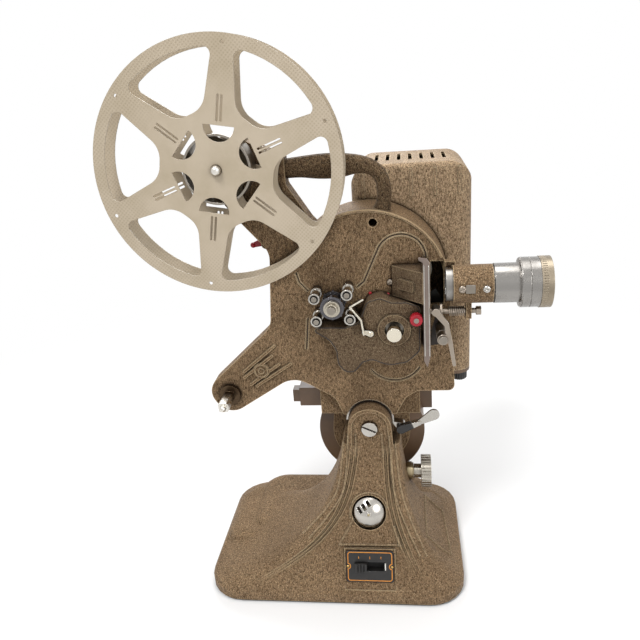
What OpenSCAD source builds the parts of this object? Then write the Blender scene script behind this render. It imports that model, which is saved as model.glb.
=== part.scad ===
// Table-top cine projector for 16 mm film, with its supply reel on the upper arm.
// Millimetres. +Z is up, +X is the way the lens points, and the threading side faces -Y.
// The origin is the middle of the face that the base rests on.

/* [Base] */
// Width of the base, along X
base_w = 214; // [204:1:230]
// Depth of the base, along Y
base_d = 155; // [150:1:170]
// Radius of the base's upright corners
base_r = 30; // [20:1:36]
// Thickness of the felt pad under the base
pad_t = 2; // [1:0.5:4]
// Height of the plinth's edge
plinth_h = 11; // [9:0.5:13]
// Thickness of the closing plate under the base
plate_under_t = 1.5; // [1:0.5:2.5]
// Height of the rear deck, left and middle
deck_h = 24; // [22:1:28]
// Thickness of the cast walls of the base
base_wall = 4; // [3:0.5:5]

/* [Pedestal] */
// X of the pedestal's middle and of the tilt pivot
pivot_x = 33; // [30:0.5:36]
// Height of the tilt pivot
pivot_z = 137; // [134:0.5:142]
// Radius of the ear that carries the head
ear_r = 17.5; // [16.5:0.25:18.5]
// Radius of the pivot screw's shank
pivot_r = 4; // [3:0.25:5]
// Half width of the pedestal's top
column_half = 22; // [21:0.5:24]
// Height of the ornamental ribs on the pedestal's corners
rib_h = 1.5; // [0.5:0.1:2]
// Width of one rib
rib_w = 3.4; // [2.5:0.1:3.6]
// Slope of the pedestal's front, in degrees
face_tilt = 20; // [15:1:24]

/* [Tilt drive] */
// Height of the tilt shaft below the pivot
tilt_drop = 60; // [58:0.5:62]
// Teeth that the sector would have as a full wheel
sector_teeth = 52; // [50:1:54]
// Radius of the tilt knob
tilt_knob_r = 14; // [13:0.5:20]
// Radius of the tilt shaft
tilt_shaft_r = 4; // [3:0.25:4.5]

/* [Switch and pilot light] */
// Width of the switch plate
switch_w = 38; // [34:1:44]
// Height of the switch plate
switch_h = 25; // [22:1:26]
// Length of the slot for the slider
slot_w = 24.5; // [20:0.5:26]
// Width of the slider
slider_w = 9.5; // [7:0.5:10]
// Radius of the pilot light's dome
dome_r = 12.4; // [10:0.2:13]

/* [Head] */
// Y of the middle of the film
film_y = -32; // [-34:0.5:-31]
// Distance from the middle of the film to the front of the main casting
film_standoff = 13.5; // [12.5:0.5:14.5]
// Thickness of the main casting's front
front_t = 4; // [3:0.5:5]
// Thickness of the main casting's side walls
side_t = 3.2; // [2.5:0.1:4]
// Depth of the main casting's body
body_depth = 37; // [35:1:40]
// Depth of the two arms
arm_depth = 14.5; // [13:0.5:16]
// Radius of the round top of the body
body_r = 62; // [61:0.5:64]
// Thickness of the rear cover
rear_t = 2; // [1.5:0.5:3]
// Height that the mechanism cover stands out
cover_h = 16; // [14:0.5:17]
// Thickness of the mechanism cover's wall
cover_t = 2.5; // [2:0.25:3]

/* [Reel and spindles] */
// Diameter of the supply reel
reel_d = 177.8; // [150:0.1:180]
// Clear width between the reel's flanges
reel_gap = 17.5; // [16.5:0.1:18]
// Thickness of a flange
flange_t = 0.8; // [0.6:0.1:1.2]
// Radius of the reel's core
core_r = 22; // [20:0.5:26]
// Width of the square part of a spindle
spindle_sq = 7.9; // [7:0.1:9]
// X of the supply spindle
feed_x = -64; // [-66:0.5:-62]
// Height of the supply spindle
feed_z = 349; // [346:0.5:352]
// X of the take-up spindle
takeup_x = -81.5; // [-84:0.5:-79]
// Height of the take-up spindle
takeup_z = 163.5; // [161:0.5:166]

/* [Film path] */
// X of the main shaft
shaft_x = 55.5; // [54:0.25:57]
// Height of the main shaft
shaft_z = 223.6; // [222:0.2:225]
// Radius of the main and sprocket shafts
shaft_r = 3; // [2.5:0.1:3.5]
// Teeth of the main shaft's pinion
pinion_teeth = 11; // [11:1:11]
// Direction from the main shaft to the sprocket, in degrees
sprocket_dir = 156; // [154:0.5:158]
// Radius of the sprocket's rims
sprocket_r = 8.9; // [8:0.1:9.2]
// Radius of the film rollers
roller_r = 4.2; // [3.6:0.1:4.4]
// Radius of the rollers' studs
stud_r = 1.6; // [1.2:0.1:2]
// X of the film in the gate
gate_x = 79.5; // [79:0.1:80]
// Height of the lens axis
lens_z = 257.2; // [256:0.2:258]
// Length of the gate
gate_len = 85; // [80:1:88]

/* [Lens] */
// Radius of the lens mount
mount_r = 14; // [13.5:0.25:15]
// Radius of the lens barrel in its mount
barrel_r = 12.2; // [11.5:0.1:12.5]
// Radius of the front of the lens
lens_r = 18.1; // [16:0.1:20]
// X of the front of the lens
lens_front = 166.5; // [164:0.5:170]

/* [Lamphouse] */
// Width of the lamphouse, along X
lamp_w = 94; // [90:1:98]
// Depth of the lamphouse, along Y
lamp_d = 80; // [76:1:88]
// Height of the lamphouse floor
floor_z = 160; // [158:0.5:162]
// Height of the top of the lamphouse
lamp_top = 338; // [325:1:345]
// Radius of the lamp's glass
lamp_r = 15.9; // [13:0.1:17]
// Radius of the condenser's barrel
condenser_r = 15; // [13:0.25:16]

/* [Motor] */
// Radius of the motor's drum
motor_r = 46.6; // [44:0.2:48]
// Length of the motor's drum
motor_len = 50; // [46:1:60]
// X of the motor's axis
motor_x = 31.5; // [30:0.5:33]
// Height of the motor's axis
motor_z = 107; // [105:0.5:108]

/* [Hidden] */
$fn = 64;

// Radial clearance of a part that turns or slides in another
run = 0.05;
// Clearance of a part that only passes another
clear = 0.3;
// Overshoot of a cut past the face that it opens
past = 1;

// Y of the faces of the head, front to back
front_y = film_y + film_standoff;
inner_y = front_y + front_t;
arm_back_y = front_y + arm_depth;
back_y = front_y + body_depth;
lamp_y0 = back_y + rear_t;
cover_y = front_y - cover_h;
reel_y0 = film_y - reel_gap / 2 - flange_t;
reel_y1 = film_y + reel_gap / 2 + flange_t;

// Pedestal
rib_n = 4;
column_front = -30;
ear_y0 = column_front - 0.8;
ear_y1 = -9.4;
lug_y0 = ear_y1 + 0.4;
lug_t = 6;
lug_r = 15;
sector_y = lug_y0 + lug_t + 3;
column_top = 122;
column_back = 8;
pocket_half = 18.5;
pocket_back = column_back + 5;
tilt_z = pivot_z - tilt_drop;
face_x = pivot_x - 2.5;
pilot_z = 70;
switch_z = 31.3;
switch_proud = 1;
switch_t = 1.2;
slot_h = 7.3;
pilot_recess_r = dome_r + 1.6;
pilot_recess = 4;
pilot_bore_r = 9;
pilot_depth = 28;

// Tilt drive: a worm of two starts under a toothed sector
tilt_module = 2;
sector_r = sector_teeth * tilt_module / 2;
worm_r = tilt_drop - sector_r;
tooth_add = 1.2;
tooth_ded = 1.8;
worm_len = 26;
worm_starts = 2;
worm_lead = PI * tilt_module * worm_starts;
bush_x0 = pivot_x + 20;
bush_x1 = pivot_x + 34.5;
bush_r = 7;
knob_x0 = pivot_x + 41;
knob_t = 8.5;

// Band and lock of the tilt
band_in = ear_r + 0.4;
band_out = band_in + 1.6;
arch_r = band_out + 0.02;
band_y0 = front_y + 1;
band_y1 = ear_y1 - 0.6;
lock_x = pivot_x + 25;
lock_z = pivot_z - 6.5;
lock_pin_r = 2;

// Main casting
box_half = 41;
box_z0 = pivot_z + 2;
box_top = 172;
feed_end_r = 17;
takeup_end_r = 15;
arc_x = 35.5;
arc_z = 250;

// Gears between the main shaft and the sprocket
gear_module = 1;
gear_ratio = 8;
pinion_r = pinion_teeth * gear_module / 2;
gear_r = pinion_r * gear_ratio;
sprocket_x = shaft_x + (pinion_r + gear_r + 0.1) * cos(sprocket_dir);
sprocket_z = shaft_z + (pinion_r + gear_r + 0.1) * sin(sprocket_dir);
gear_y0 = 0.5;
gear_t = 3;
shaft_end = back_y - 0.5;
bush_out = 5;
bush_y0 = front_y - 1.5;
bearing_y0 = back_y - 4;
belt_y = 11.5;
belt_w = 3.2;
belt_t = 2;
belt_gap = 0.3;
motor_pulley_r = 7;
main_pulley_r = 12;
takeup_belt_y = -11;
takeup_pulley_r = 7.4;
drive_pulley_r = 6;
shutter_y = -7;
shutter_r = 39;
shutter_t = 0.8;

// Gate and lens
gate_t = 2.1;
gate_y0 = film_y - 11;
gate_y1 = film_y + 9;
gate_side = gate_x - 0.2 - gate_t;
gate_z0 = lens_z - 61;
gate_top = gate_z0 + gate_len;
block_z0 = lens_z - 11.2;
block_h = 23.5;
door_line = gate_side - 43;
block_left = door_line - front_y + 2;
light_x = door_line + 4.4 - film_y;
light_r = 6.3;
rod_z = lens_z - 20.7;
rod_r = 2;
rod_end = 119;
collar_x = 89.3;
lever_x = 91;
lever_z = lens_z - 38.6;
pin_x = 86;
pin_z = lens_z - 16.9;
tail_x = 99;
tail_z = lens_z - 58.7;
lever_y0 = -44.4;
lever_t = 2.4;
lever_stud_r = 2.5;
gate_travel = 3;
throat_x = 93;
mount_x0 = 97;
mount_x1 = 126.5;
bracket_x0 = 108;
bracket_x1 = 112;
chrome_x = mount_x1 + 1;
big_x = 145;
ring_x = 158.5;

// Lamp and light path, all on the axis that the mirror turns into the lens
lamp_x = light_x;
lamp_y = lamp_y0 + 42;
lamp_t = 2;
floor_t = 3;
lamp_corner = 13;
lamp_edge = 18;
lamp_brow = 4;
lamp_z0 = floor_z + floor_t;

// Motor
motor_wall = 2.5;
motor_cap_len = 12;
motor_y0 = lamp_y0;
motor_y1 = motor_y0 + motor_len;
rotor_r = 4;

// Round nose of the supply spindle
nose_r = spindle_sq / 2 - 0.05;

// Axes along Y, as [x, z]
pivot = [pivot_x, pivot_z];
lock_c = [lock_x, lock_z];
feed_c = [feed_x, feed_z];
takeup_c = [takeup_x, takeup_z];
sprocket_c = [sprocket_x, sprocket_z];
shaft_c = [shaft_x, shaft_z];
light_c = [light_x, lens_z];
lever_c = [lever_x, lever_z];
motor_c = [motor_x, motor_z];
arc_c = [arc_x, arc_z];

// Axes along X, as [y, z]
tilt_c = [sector_y, tilt_z];
lens_c = [film_y, lens_z];
rod_c = [film_y, rod_z];

// Functions for outlines

// First two numbers of a point
function xy(p) = [p[0], p[1]];

// Vector of length one
function unit(v) = v / norm(v);

// Points of the arc that rounds corner b between a and c with radius r
function corner(a, b, c, r, n) =
  r <= 0 ? [b] :
  let(
    u = unit(a - b),
    w = unit(c - b),
    half = acos(u * w) / 2,
    reach = r / tan(half),
    centre = b + unit(u + w) * (r / sin(half)),
    s = b + u * reach - centre,
    e = b + w * reach - centre,
    start = atan2(s[1], s[0]),
    sweep = atan2(s[0] * e[1] - s[1] * e[0], s * e)
  )
  [for (k = [0:n]) centre + r * [cos(start + sweep * k / n), sin(start + sweep * k / n)]];

// Closed path of corners [x, z, radius], with every corner rounded
function rounded(path, n = 8) =
  let(m = len(path))
  [for (i = [0:m - 1])
    each corner(xy(path[(i + m - 1) % m]), xy(path[i]), xy(path[(i + 1) % m]), path[i][2], n)];

// The same path moved inwards by d; the path runs anticlockwise
function inset(path, d) =
  let(m = len(path))
  [for (i = [0:m - 1])
    let(
      u = unit(xy(path[i]) - xy(path[(i + m - 1) % m])),
      w = unit(xy(path[(i + 1) % m]) - xy(path[i])),
      nu = [-u[1], u[0]],
      nw = [-w[1], w[0]],
      turn = u[0] * w[1] - u[1] * w[0],
      p = xy(path[i]) + (nu + nw) * d / (1 + nu * nw)
    )
    [p[0], p[1], path[i][2] <= 0 ? 0 : max(0.3, path[i][2] - sign(turn) * d)]];

// Two corners that give an arm a round end of radius r about c
function round_end(c, toward, r) =
  let(d = unit(toward - c), p = [-d[1], d[0]])
  [for (s = [1, -1]) let(q = c - d * r + p * r * s) [q[0], q[1], r * 0.99]];

// Point of a smooth curve through a list of points, t from 0 to the last index
function spline(p, t) =
  let(
    n = len(p) - 1,
    i = min(floor(t), n - 1),
    f = t - i,
    a = p[max(i - 1, 0)],
    b = p[i],
    c = p[i + 1],
    d = p[min(i + 2, n)]
  )
  0.5 * (2 * b + (c - a) * f + (2 * a - 5 * b + 4 * c - d) * f * f + (3 * b - a - 3 * c + d) * f * f * f);

// Triangles of a stack of rings with n points each, closed at both ends
function stack_faces(rings, n) = concat(
  [for (k = [1:n - 2]) [0, k, k + 1]],
  [for (r = [0:rings - 2], k = [0:n - 1])
    each [[r * n + k, (r + 1) * n + k, r * n + (k + 1) % n],
       [r * n + (k + 1) % n, (r + 1) * n + k, (r + 1) * n + (k + 1) % n]]],
  [for (k = [1:n - 2]) [(rings - 1) * n, (rings - 1) * n + k + 1, (rings - 1) * n + k]]);

// Solid through a list of rings that all have the same number of points
module stack(rings) {
  n = len(rings[0]);
  polyhedron([for (r = rings) each r], stack_faces(len(rings), n), convexity = 6);
}

// Solids that lie along an axis

// Flat outline in X and Z, made into a solid from y0 to y1
module slab(y0, y1) {
  translate([0, y1, 0])
    rotate([90, 0, 0])
      linear_extrude(y1 - y0)
        children();
}

// Round bar along Y about the point [x, z]
module rod_y(c, r, y0, y1) {
  translate([c[0], y1, c[1]])
    rotate([90, 0, 0])
      cylinder(r = r, h = y1 - y0);
}

// Round bar along X about the point [y, z]
module rod_x(c, r, x0, x1) {
  translate([x0, c[0], c[1]])
    rotate([0, 90, 0])
      cylinder(r = r, h = x1 - x0);
}

// Block between two corners
module block(a, b) {
  translate(a)
    cube(b - a);
}

// Outline of a loop drawn tight about two circles
function loop(a, ra, b, rb, n = 24) =
  let(dir = atan2(b[1] - a[1], b[0] - a[0]), lean = acos((ra - rb) / norm(b - a)))
  [for (e = [[a, ra, dir + lean, 360 - 2 * lean], [b, rb, dir - lean, 2 * lean]], k = [0:n])
    e[0] + e[1] * [cos(e[2] + e[3] * k / n), sin(e[2] + e[3] * k / n)]];

// Flat bar between two points with round ends of different radii
module link_2d(a, ra, b, rb, n = 16) {
  polygon(loop(a, ra, b, rb, n));
}

// Rectangle with round corners about the middle
module plate_2d(w, h, r) {
  polygon(rounded([[w / 2, -h / 2, r], [w / 2, h / 2, r], [-w / 2, h / 2, r], [-w / 2, -h / 2, r]]));
}

// Toothed wheel with straight-sided teeth
module gear_2d(teeth, m, thin = 0.2) {
  pitch_a = 360 / teeth;
  r = teeth * m / 2;
  polygon([for (i = [0:teeth - 1], c = [[-0.34, -1.15], [-0.12, 0.85], [0.12, 0.85], [0.34, -1.15]])
    let(a = (i + c[0] * (1 - thin)) * pitch_a, q = r + c[1] * m)
    q * [cos(a), sin(a)]]);
}

// Belt about two pulleys whose grooves have the radii ra and rb, in the plane at y
module belt(a, ra, b, rb, y) {
  slab(y - belt_w / 2, y + belt_w / 2)
    difference() {
      polygon(loop(a, ra + belt_gap + belt_t, b, rb + belt_gap + belt_t));
      polygon(loop(a, ra + belt_gap, b, rb + belt_gap));
    }
}

// Pulley with groove radius r
module pulley(c, r, y) {
  side = 0.8;
  half = belt_w / 2 + clear;
  rod_y(c, r, y - half, y + half);
  for (y0 = [y - half - side, y + half])
    rod_y(c, r + belt_t + 1, y0, y0 + side);
}

// Frame on the pedestal's sloping front: X across, Z up the slope, -Y out of the face
module on_face(z) {
  translate([face_x, pedestal_front(z), z])
    rotate([-face_tilt, 0, 0])
      children();
}

// Base and pedestal

// How far a height has come from the pedestal's top to the plinth, 0 to 1
function spread(z) = max(0, min(1, (column_top + 3 - z) / (column_top + 3 - plinth_h - pad_t)));

// Y of the pedestal's front at a height
function pedestal_front(z) = column_front - (base_d / 2 - 1.5 + column_front) * pow(spread(z), 1.15);

// Outline of the pedestal at a height, with ribs on the front beside its corners
function pedestal_ring(z) =
  let(
    s = spread(z),
    edge = 3,
    left = pivot_x - column_half - 24 * s
      - (base_w / 2 - edge + pivot_x - column_half - 24) * pow(s, 3.5),
    right = pivot_x + column_half + 2 + 6 * s
      + (base_w / 2 - edge - pivot_x - column_half - 8) * pow(s, 3),
    rear = column_back + (base_d / 2 - 7 - column_back) * pow(s, 5),
    r = 5 + 8 * s + (base_r - 16) * pow(s, 8),
    fade = z > column_top - 0.1 ? 0 : min(1, 3.2 * (1 - s))
  )
  ring_points(left, right, pedestal_front(z), rear, r, rib_h * fade, z);

// Ring of points with n points on each rounded corner, and ribs along the front
function ring_points(left, right, front, rear, r, rib, z, n = 6) = concat(
  [for (k = [0:n])
    let(a = 180 + 90 * k / n)
    [left + r + r * cos(a), front + r + r * sin(a), z]],
  [for (k = [1:3 * rib_n])
    [left + r + rib_w * k / rib_n, front - rib * rib_wave(k), z]],
  [for (k = [3 * rib_n:-1:1])
    [right - r - rib_w * k / rib_n, front - rib * rib_wave(k), z]],
  [for (c = [[right, front, 270, -1, 1], [right, rear, 0, -1, -1], [left, rear, 90, 1, -1]], k = [0:n])
    let(a = c[2] + 90 * k / n)
    [c[0] + c[3] * r + r * cos(a), c[1] + c[4] * r + r * sin(a), z]]);

// Height of three ribs side by side
function rib_wave(k) = (1 - cos(360 * k / rib_n)) / 2;

// Height of ring i of the pedestal, closer together near the plinth
function pedestal_level(i, n) =
  plinth_h + pad_t + (column_top - plinth_h - pad_t) * pow(i / n, 1.35);

// Rounded block with a soft top edge of radius e
module soft_block(x0, x1, y0, y1, z0, z1, r, e, n = 6) {
  stack(concat(
    [ring_points(x0, x1, y0, y1, r, 0, z0)],
    [for (k = [0:n])
      let(a = 90 * k / n, d = e * (1 - cos(a)))
      ring_points(x0 + d, x1 - d, y0 + d, y1 - d, max(r - d, 4), 0, z1 - e + e * sin(a))]));
}

module base_casting() {
  levels = 18;
  under_z = pad_t + plate_under_t;
  cavity_top = under_z + 11;
  seat_half = switch_w / 2 + 1.5;
  color("#7d684e")
    difference() {
      union() {
        stack(concat(
          [for (e = [[0, 0], [plinth_h - 4, 0], [plinth_h - 1.5, 1]])
            let(x = base_w / 2 - e[1], y = base_d / 2 - e[1])
            ring_points(-x, x, -y, y, base_r, 0, pad_t + e[0])],
          [for (i = [0:levels]) pedestal_ring(pedestal_level(i, levels))]));
        soft_block(-base_w / 2 + 2, base_w / 2 - 6, -30, base_d / 2 - 16, pad_t + 5, deck_h, 28, 14);
        soft_block(-base_w / 2 + 22, base_w / 2 - 20, -24, base_d / 2 - 1, pad_t + 4, deck_h + 4, 28, 16);
        // Ear, with a rim that runs down beside the ribs
        slab(ear_y0, ear_y1) {
          link_2d(pivot, ear_r, [pivot_x, column_top], ear_r + 0.1, 40);
          link_2d([pivot_x, column_top], ear_r - 0.4, [pivot_x, column_top - 30], ear_r + 4, 40);
        }
        slab(ear_y0 - 0.9, ear_y0)
          difference() {
            link_2d(pivot, ear_r, [pivot_x, column_top - 14], ear_r + 2, 40);
            link_2d(pivot, ear_r - 3, [pivot_x, column_top - 15], ear_r - 1.5, 40);
          }
        on_face(switch_z)
          block([-seat_half, -switch_proud, -switch_h / 2 - 7], [seat_half, 13, switch_h / 2 + 1.5]);
      }
      // Flat seat of the switch plate
      on_face(switch_z)
        block([-seat_half, -30, -switch_h / 2 - 7], [seat_half, -switch_proud, switch_h / 2 + 1.5]);
      // Recess of the closing plate and the hollow above it
      translate([0, 0, pad_t - past])
        linear_extrude(plate_under_t + past)
          plate_2d(base_w - 4 * base_wall, base_d - 4 * base_wall, base_r - 2 * base_wall);
      block([-base_w / 2 + 22, -base_d / 2 + 26, pad_t],
        [base_w / 2 - 20, base_d / 2 - 18, cavity_top]);
      // Slot of the tilt sector and the bores of its shaft
      block([pivot_x - pocket_half, ear_y1, tilt_z - worm_r - 6],
        [pivot_x + pocket_half, pocket_back, column_top + past]);
      rod_x(tilt_c, tilt_shaft_r + run, pivot_x - pocket_half - 3, pivot_x);
      rod_x(tilt_c, bush_r - 2, pivot_x, pivot_x + 60);
      rod_x(tilt_c, bush_r, bush_x0, pivot_x + 60);
      // Pivot, pilot light and switch
      rod_y(pivot, pivot_r, ear_y0 - past, ear_y1 + past);
      on_face(pilot_z) {
        rod_y([0, 0], pilot_recess_r, -12, pilot_recess);
        rod_y([0, 0], pilot_bore_r, -12, pilot_depth);
      }
      on_face(switch_z)
        block([-slot_w / 2 - 2, -10, -slot_h / 2 - 3], [slot_w / 2 + 2, 16, slot_h / 2 + 3]);
    }
}

module base_plate() {
  color("#6f6a63")
    translate([0, 0, pad_t])
      linear_extrude(plate_under_t)
        plate_2d(base_w - 4 * base_wall - 2 * clear, base_d - 4 * base_wall - 2 * clear,
          base_r - 2 * base_wall);
}

module base_pad() {
  color("#2b2622")
    linear_extrude(pad_t)
      plate_2d(base_w - 3, base_d - 3, base_r - 1.5);
}

// Switch plate with the slot for its slider
module switch_plate() {
  color("#191715")
    on_face(switch_z)
      difference() {
        slab(-switch_proud - switch_t, -switch_proud)
          plate_2d(switch_w, switch_h, 1.5);
        block([-slot_w / 2, -10, -slot_h / 2], [slot_w / 2, 10, slot_h / 2]);
      }
}

// Insulated box of the switch, held behind the plate
module switch_body() {
  color("#33291f")
    on_face(switch_z)
      difference() {
        block([-slot_w / 2 - 1.7, -switch_proud, -slot_h / 2 - 2.7],
          [slot_w / 2 + 1.7, 15, slot_h / 2 + 2.7]);
        block([-slot_w / 2, -10, -slot_h / 2], [slot_w / 2, 8, slot_h / 2]);
      }
}

// Slider at the left end of its slot
module switch_slider() {
  x0 = -slot_w / 2 + 0.4;
  z1 = slot_h / 2 - 0.4;
  color("#0f0e0d")
    on_face(switch_z)
      difference() {
        block([x0, -switch_proud - switch_t - 4.5, -z1], [x0 + slider_w, 7.7, z1]);
        for (k = [1:3])
          translate([x0 + slider_w * k / 4, -switch_proud - switch_t - 4.5, 0])
            rotate([0, 0, 45])
              cube([1.2, 1.2, 3 * z1], center = true);
      }
}

module pilot_lamp() {
  color("#e8dcc0")
    on_face(pilot_z) {
      rod_y([0, 0], pilot_bore_r, 14, pilot_depth);
      rod_y([0, 0], 5.5, 8, 14);
      translate([0, 8, 0])
        sphere(r = 5.5);
    }
}

// Chrome dome with three light slots, turned about its middle pin
module pilot_shade() {
  rise = 5;
  ball = (dome_r * dome_r + rise * rise) / (2 * rise);
  skin = 0.9;
  color("#d6d4cf")
    on_face(pilot_z)
      difference() {
        union() {
          intersection() {
            translate([0, ball - rise, 0])
              difference() {
                sphere(r = ball);
                sphere(r = ball - skin);
              }
            rod_y([0, 0], dome_r, -2 * rise, 0);
          }
          difference() {
            rod_y([0, 0], dome_r, 0, pilot_recess);
            rod_y([0, 0], dome_r - skin, -past, pilot_recess + past);
          }
          rod_y([0, 0], 1.6, -rise - 0.8, pilot_recess - 2);
          block([-dome_r + skin / 2, pilot_recess - 3.5, -1.5],
            [dome_r - skin / 2, pilot_recess - 2, 1.5]);
        }
        rotate([0, -35, 0])
          for (k = [-1:1])
            translate([k * 4.4, 0, 6.6])
              cube([2.6, 3 * ball, 5.4], center = true);
      }
}

// Tilt drive

module tilt_bush() {
  color("#b89a62")
    difference() {
      union() {
        rod_x(tilt_c, bush_r, bush_x0, bush_x1);
        rod_x(tilt_c, bush_r + 0.8, bush_x1 - 5.5, bush_x1 - 1.5);
      }
      rod_x(tilt_c, tilt_shaft_r + run, bush_x0 - past, bush_x1 + past);
    }
}

// Shaft with a worm of two starts
module tilt_worm() {
  steps = 26;
  sides = 16;
  worm_phase = -180 * worm_len / worm_lead;
  color("#b9b4aa") {
    rod_x(tilt_c, tilt_shaft_r, pivot_x - pocket_half - 2.8, knob_x0 + knob_t - 2);
    translate([pivot_x - worm_len / 2, sector_y, tilt_z])
      rotate([0, 90, 0])
        linear_extrude(worm_len, twist = -360 * worm_len / worm_lead, slices = steps)
          polygon([for (k = [0:sides - 1])
            let(a = 360 * k / sides + worm_phase)
            (worm_r + tooth_add * cos(worm_starts * 360 * k / sides)) * [cos(a), sin(a)]]);
  }
}

// Round knob with a coarse edge, fixed to the tilt shaft
module tilt_knob() {
  notches = 30;
  color("#a9a294")
    difference() {
      union() {
        rod_x(tilt_c, tilt_knob_r, knob_x0, knob_x0 + knob_t);
        rod_x(tilt_c, 6, bush_x1 + 0.2, knob_x0);
      }
      rod_x(tilt_c, tilt_shaft_r, bush_x1 - past, knob_x0 + knob_t - 2);
      rod_x(tilt_c, tilt_knob_r - 4, knob_x0 + knob_t - 1, knob_x0 + knob_t + past);
      for (k = [0:notches - 1])
        translate([knob_x0 + knob_t / 2, sector_y, tilt_z])
          rotate([360 * k / notches, 0, 0])
            translate([0, 0, tilt_knob_r + 0.5])
              rotate([45, 0, 0])
                cube([knob_t + 2, 1.4, 1.4], center = true);
    }
}

module tilt_pivot_screw() {
  head_r = 6.3;
  color("#cfccc6")
    difference() {
      union() {
        rod_y(pivot, pivot_r, ear_y0, sector_y + 3);
        rod_y(pivot, head_r, ear_y0 - 2.6, ear_y0);
      }
      translate([pivot_x, ear_y0 - 2.6, pivot_z])
        rotate([0, 25, 0])
          cube([2.5 * head_r, 2.4, 1.6], center = true);
    }
}

// Toothed sector that hangs from the head into the pedestal
module tilt_sector() {
  pitch_a = 360 / sector_teeth;
  thick = 3;
  rim = 9;
  tip = tooth_add - 0.4;
  tooth = [[-0.27, -tooth_ded], [-0.08, tip], [0.08, tip], [0.27, -tooth_ded]];
  mid_a = -90 - pitch_a / 2;
  color("#8f8a80")
    difference() {
      union() {
        slab(sector_y - thick / 2, sector_y + thick / 2)
          translate(pivot) {
            link_2d([0, 0], 8, (sector_r - rim) * [cos(mid_a), sin(mid_a)], 6);
            polygon(concat(
              [for (i = [-2:0], c = tooth)
                let(a = -90 + (i + 0.5 + c[0]) * pitch_a)
                (sector_r + c[1]) * [cos(a), sin(a)]],
              [for (i = [1, 0, -1, -2])
                let(a = -90 + (i - 0.3) * pitch_a)
                (sector_r - rim) * [cos(a), sin(a)]]));
          }
        rod_y(pivot, 10, sector_y - 3, sector_y + 3);
      }
      rod_y(pivot, pivot_r + run, sector_y - 10, sector_y + 10);
    }
}

// Spring band in the arch of the main casting, with the lug of its lock
module tilt_band() {
  lap = 9;
  end_a = 178;
  color("#c9c6c0")
    slab(band_y0, band_y1)
      difference() {
        union() {
          translate(pivot)
            polygon([for (e = [[band_out, 0], [band_in, 1]], k = [0:48])
              let(a = -lap + (end_a + lap) * (e[1] == 0 ? k : 48 - k) / 48)
              e[0] * [cos(a), sin(a)]]);
          link_2d([pivot_x + band_in + 0.6, lock_z + 4.2], 0.7, lock_c, 3.6);
        }
        translate(lock_c)
          circle(r = lock_pin_r + run);
      }
}

// Wing lever that tightens the band
module tilt_lock_lever() {
  stem = [lock_x + 15, lock_z + 6];
  tip = [lock_x + 26.5, lock_z + 13];
  y0 = band_y0 - 5;
  color("#bdb9b2") {
    rod_y(lock_c, lock_pin_r, y0, band_y1 + 0.5);
    slab(y0, band_y0 - clear)
      link_2d(lock_c, 3.6, stem, 1.7);
    slab(y0 + 1.4, band_y0 - 1.7)
      link_2d(stem, 2, tip, 4.6);
  }
}

// Main casting of the head

handle_x0 = -20;
rewind_c = [-39.6, 288.5];
arch_edge = [
  [pivot_x - 21.5, pivot_z + 6, 1.5], [pivot_x + 21.5, pivot_z + 6, 1.5],
  [63, 158.5, 8], [72, 164.2, 8], [101.4, 164.2, 5]];
// Round top of the body, up to angle a
function top_edge(a, n = 48) =
  [for (k = [0:n]) let(q = arc_c + body_r * [cos(a * k / n), sin(a * k / n)]) [q[0], q[1], 0]];
full_path = concat(top_edge(124),
  [[-4, 307, 6], [handle_x0, 333, 6], [handle_x0, 353, 3]],
  round_end(feed_c, arc_c, feed_end_r),
  [[-60, 310, 14], [-37, 283, 16], [-42, 221.7, 18]],
  round_end(takeup_c, [-37, 196], takeup_end_r),
  [[-27.2, 178.3, 20], [5.5, 158.8, 12]], arch_edge);
body_path = concat(top_edge(138),
  [[-38, 262, 14], [-41.2, 195, 12], [-24, 176.4, 8], [5.5, 158.8, 12]], arch_edge);

// Outline of the head's round body with its arms, or without, moved in by d
module head_2d(path, d = 0) {
  polygon(rounded(inset(path, d)));
}

// Ring-shaped line of width w between two angles
module arc_line(c, r, a0, a1, w) {
  translate(c)
    difference() {
      intersection() {
        circle(r = r + w / 2);
        polygon([[0, 0],
          for (k = [0:4]) let(a = a0 + (a1 - a0) * k / 4) 3 * r * [cos(a), sin(a)]]);
      }
      circle(r = r - w / 2);
    }
}

// Raised bars and a boss along the take-up arm
module arm_ornament_2d() {
  along = unit([-37, 196] - takeup_c);
  across = [-along[1], along[0]];
  for (s = [-1, 1], k = [0:1])
    link_2d(takeup_c + along * (20 + 3 * k) + across * s * (4 + 4 * k), 1.1,
      takeup_c + along * (50 + 8 * k) + across * s * (4.5 + 5.5 * k), 1.1);
  translate(takeup_c + along * 35)
    circle(r = 6.5);
}

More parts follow.
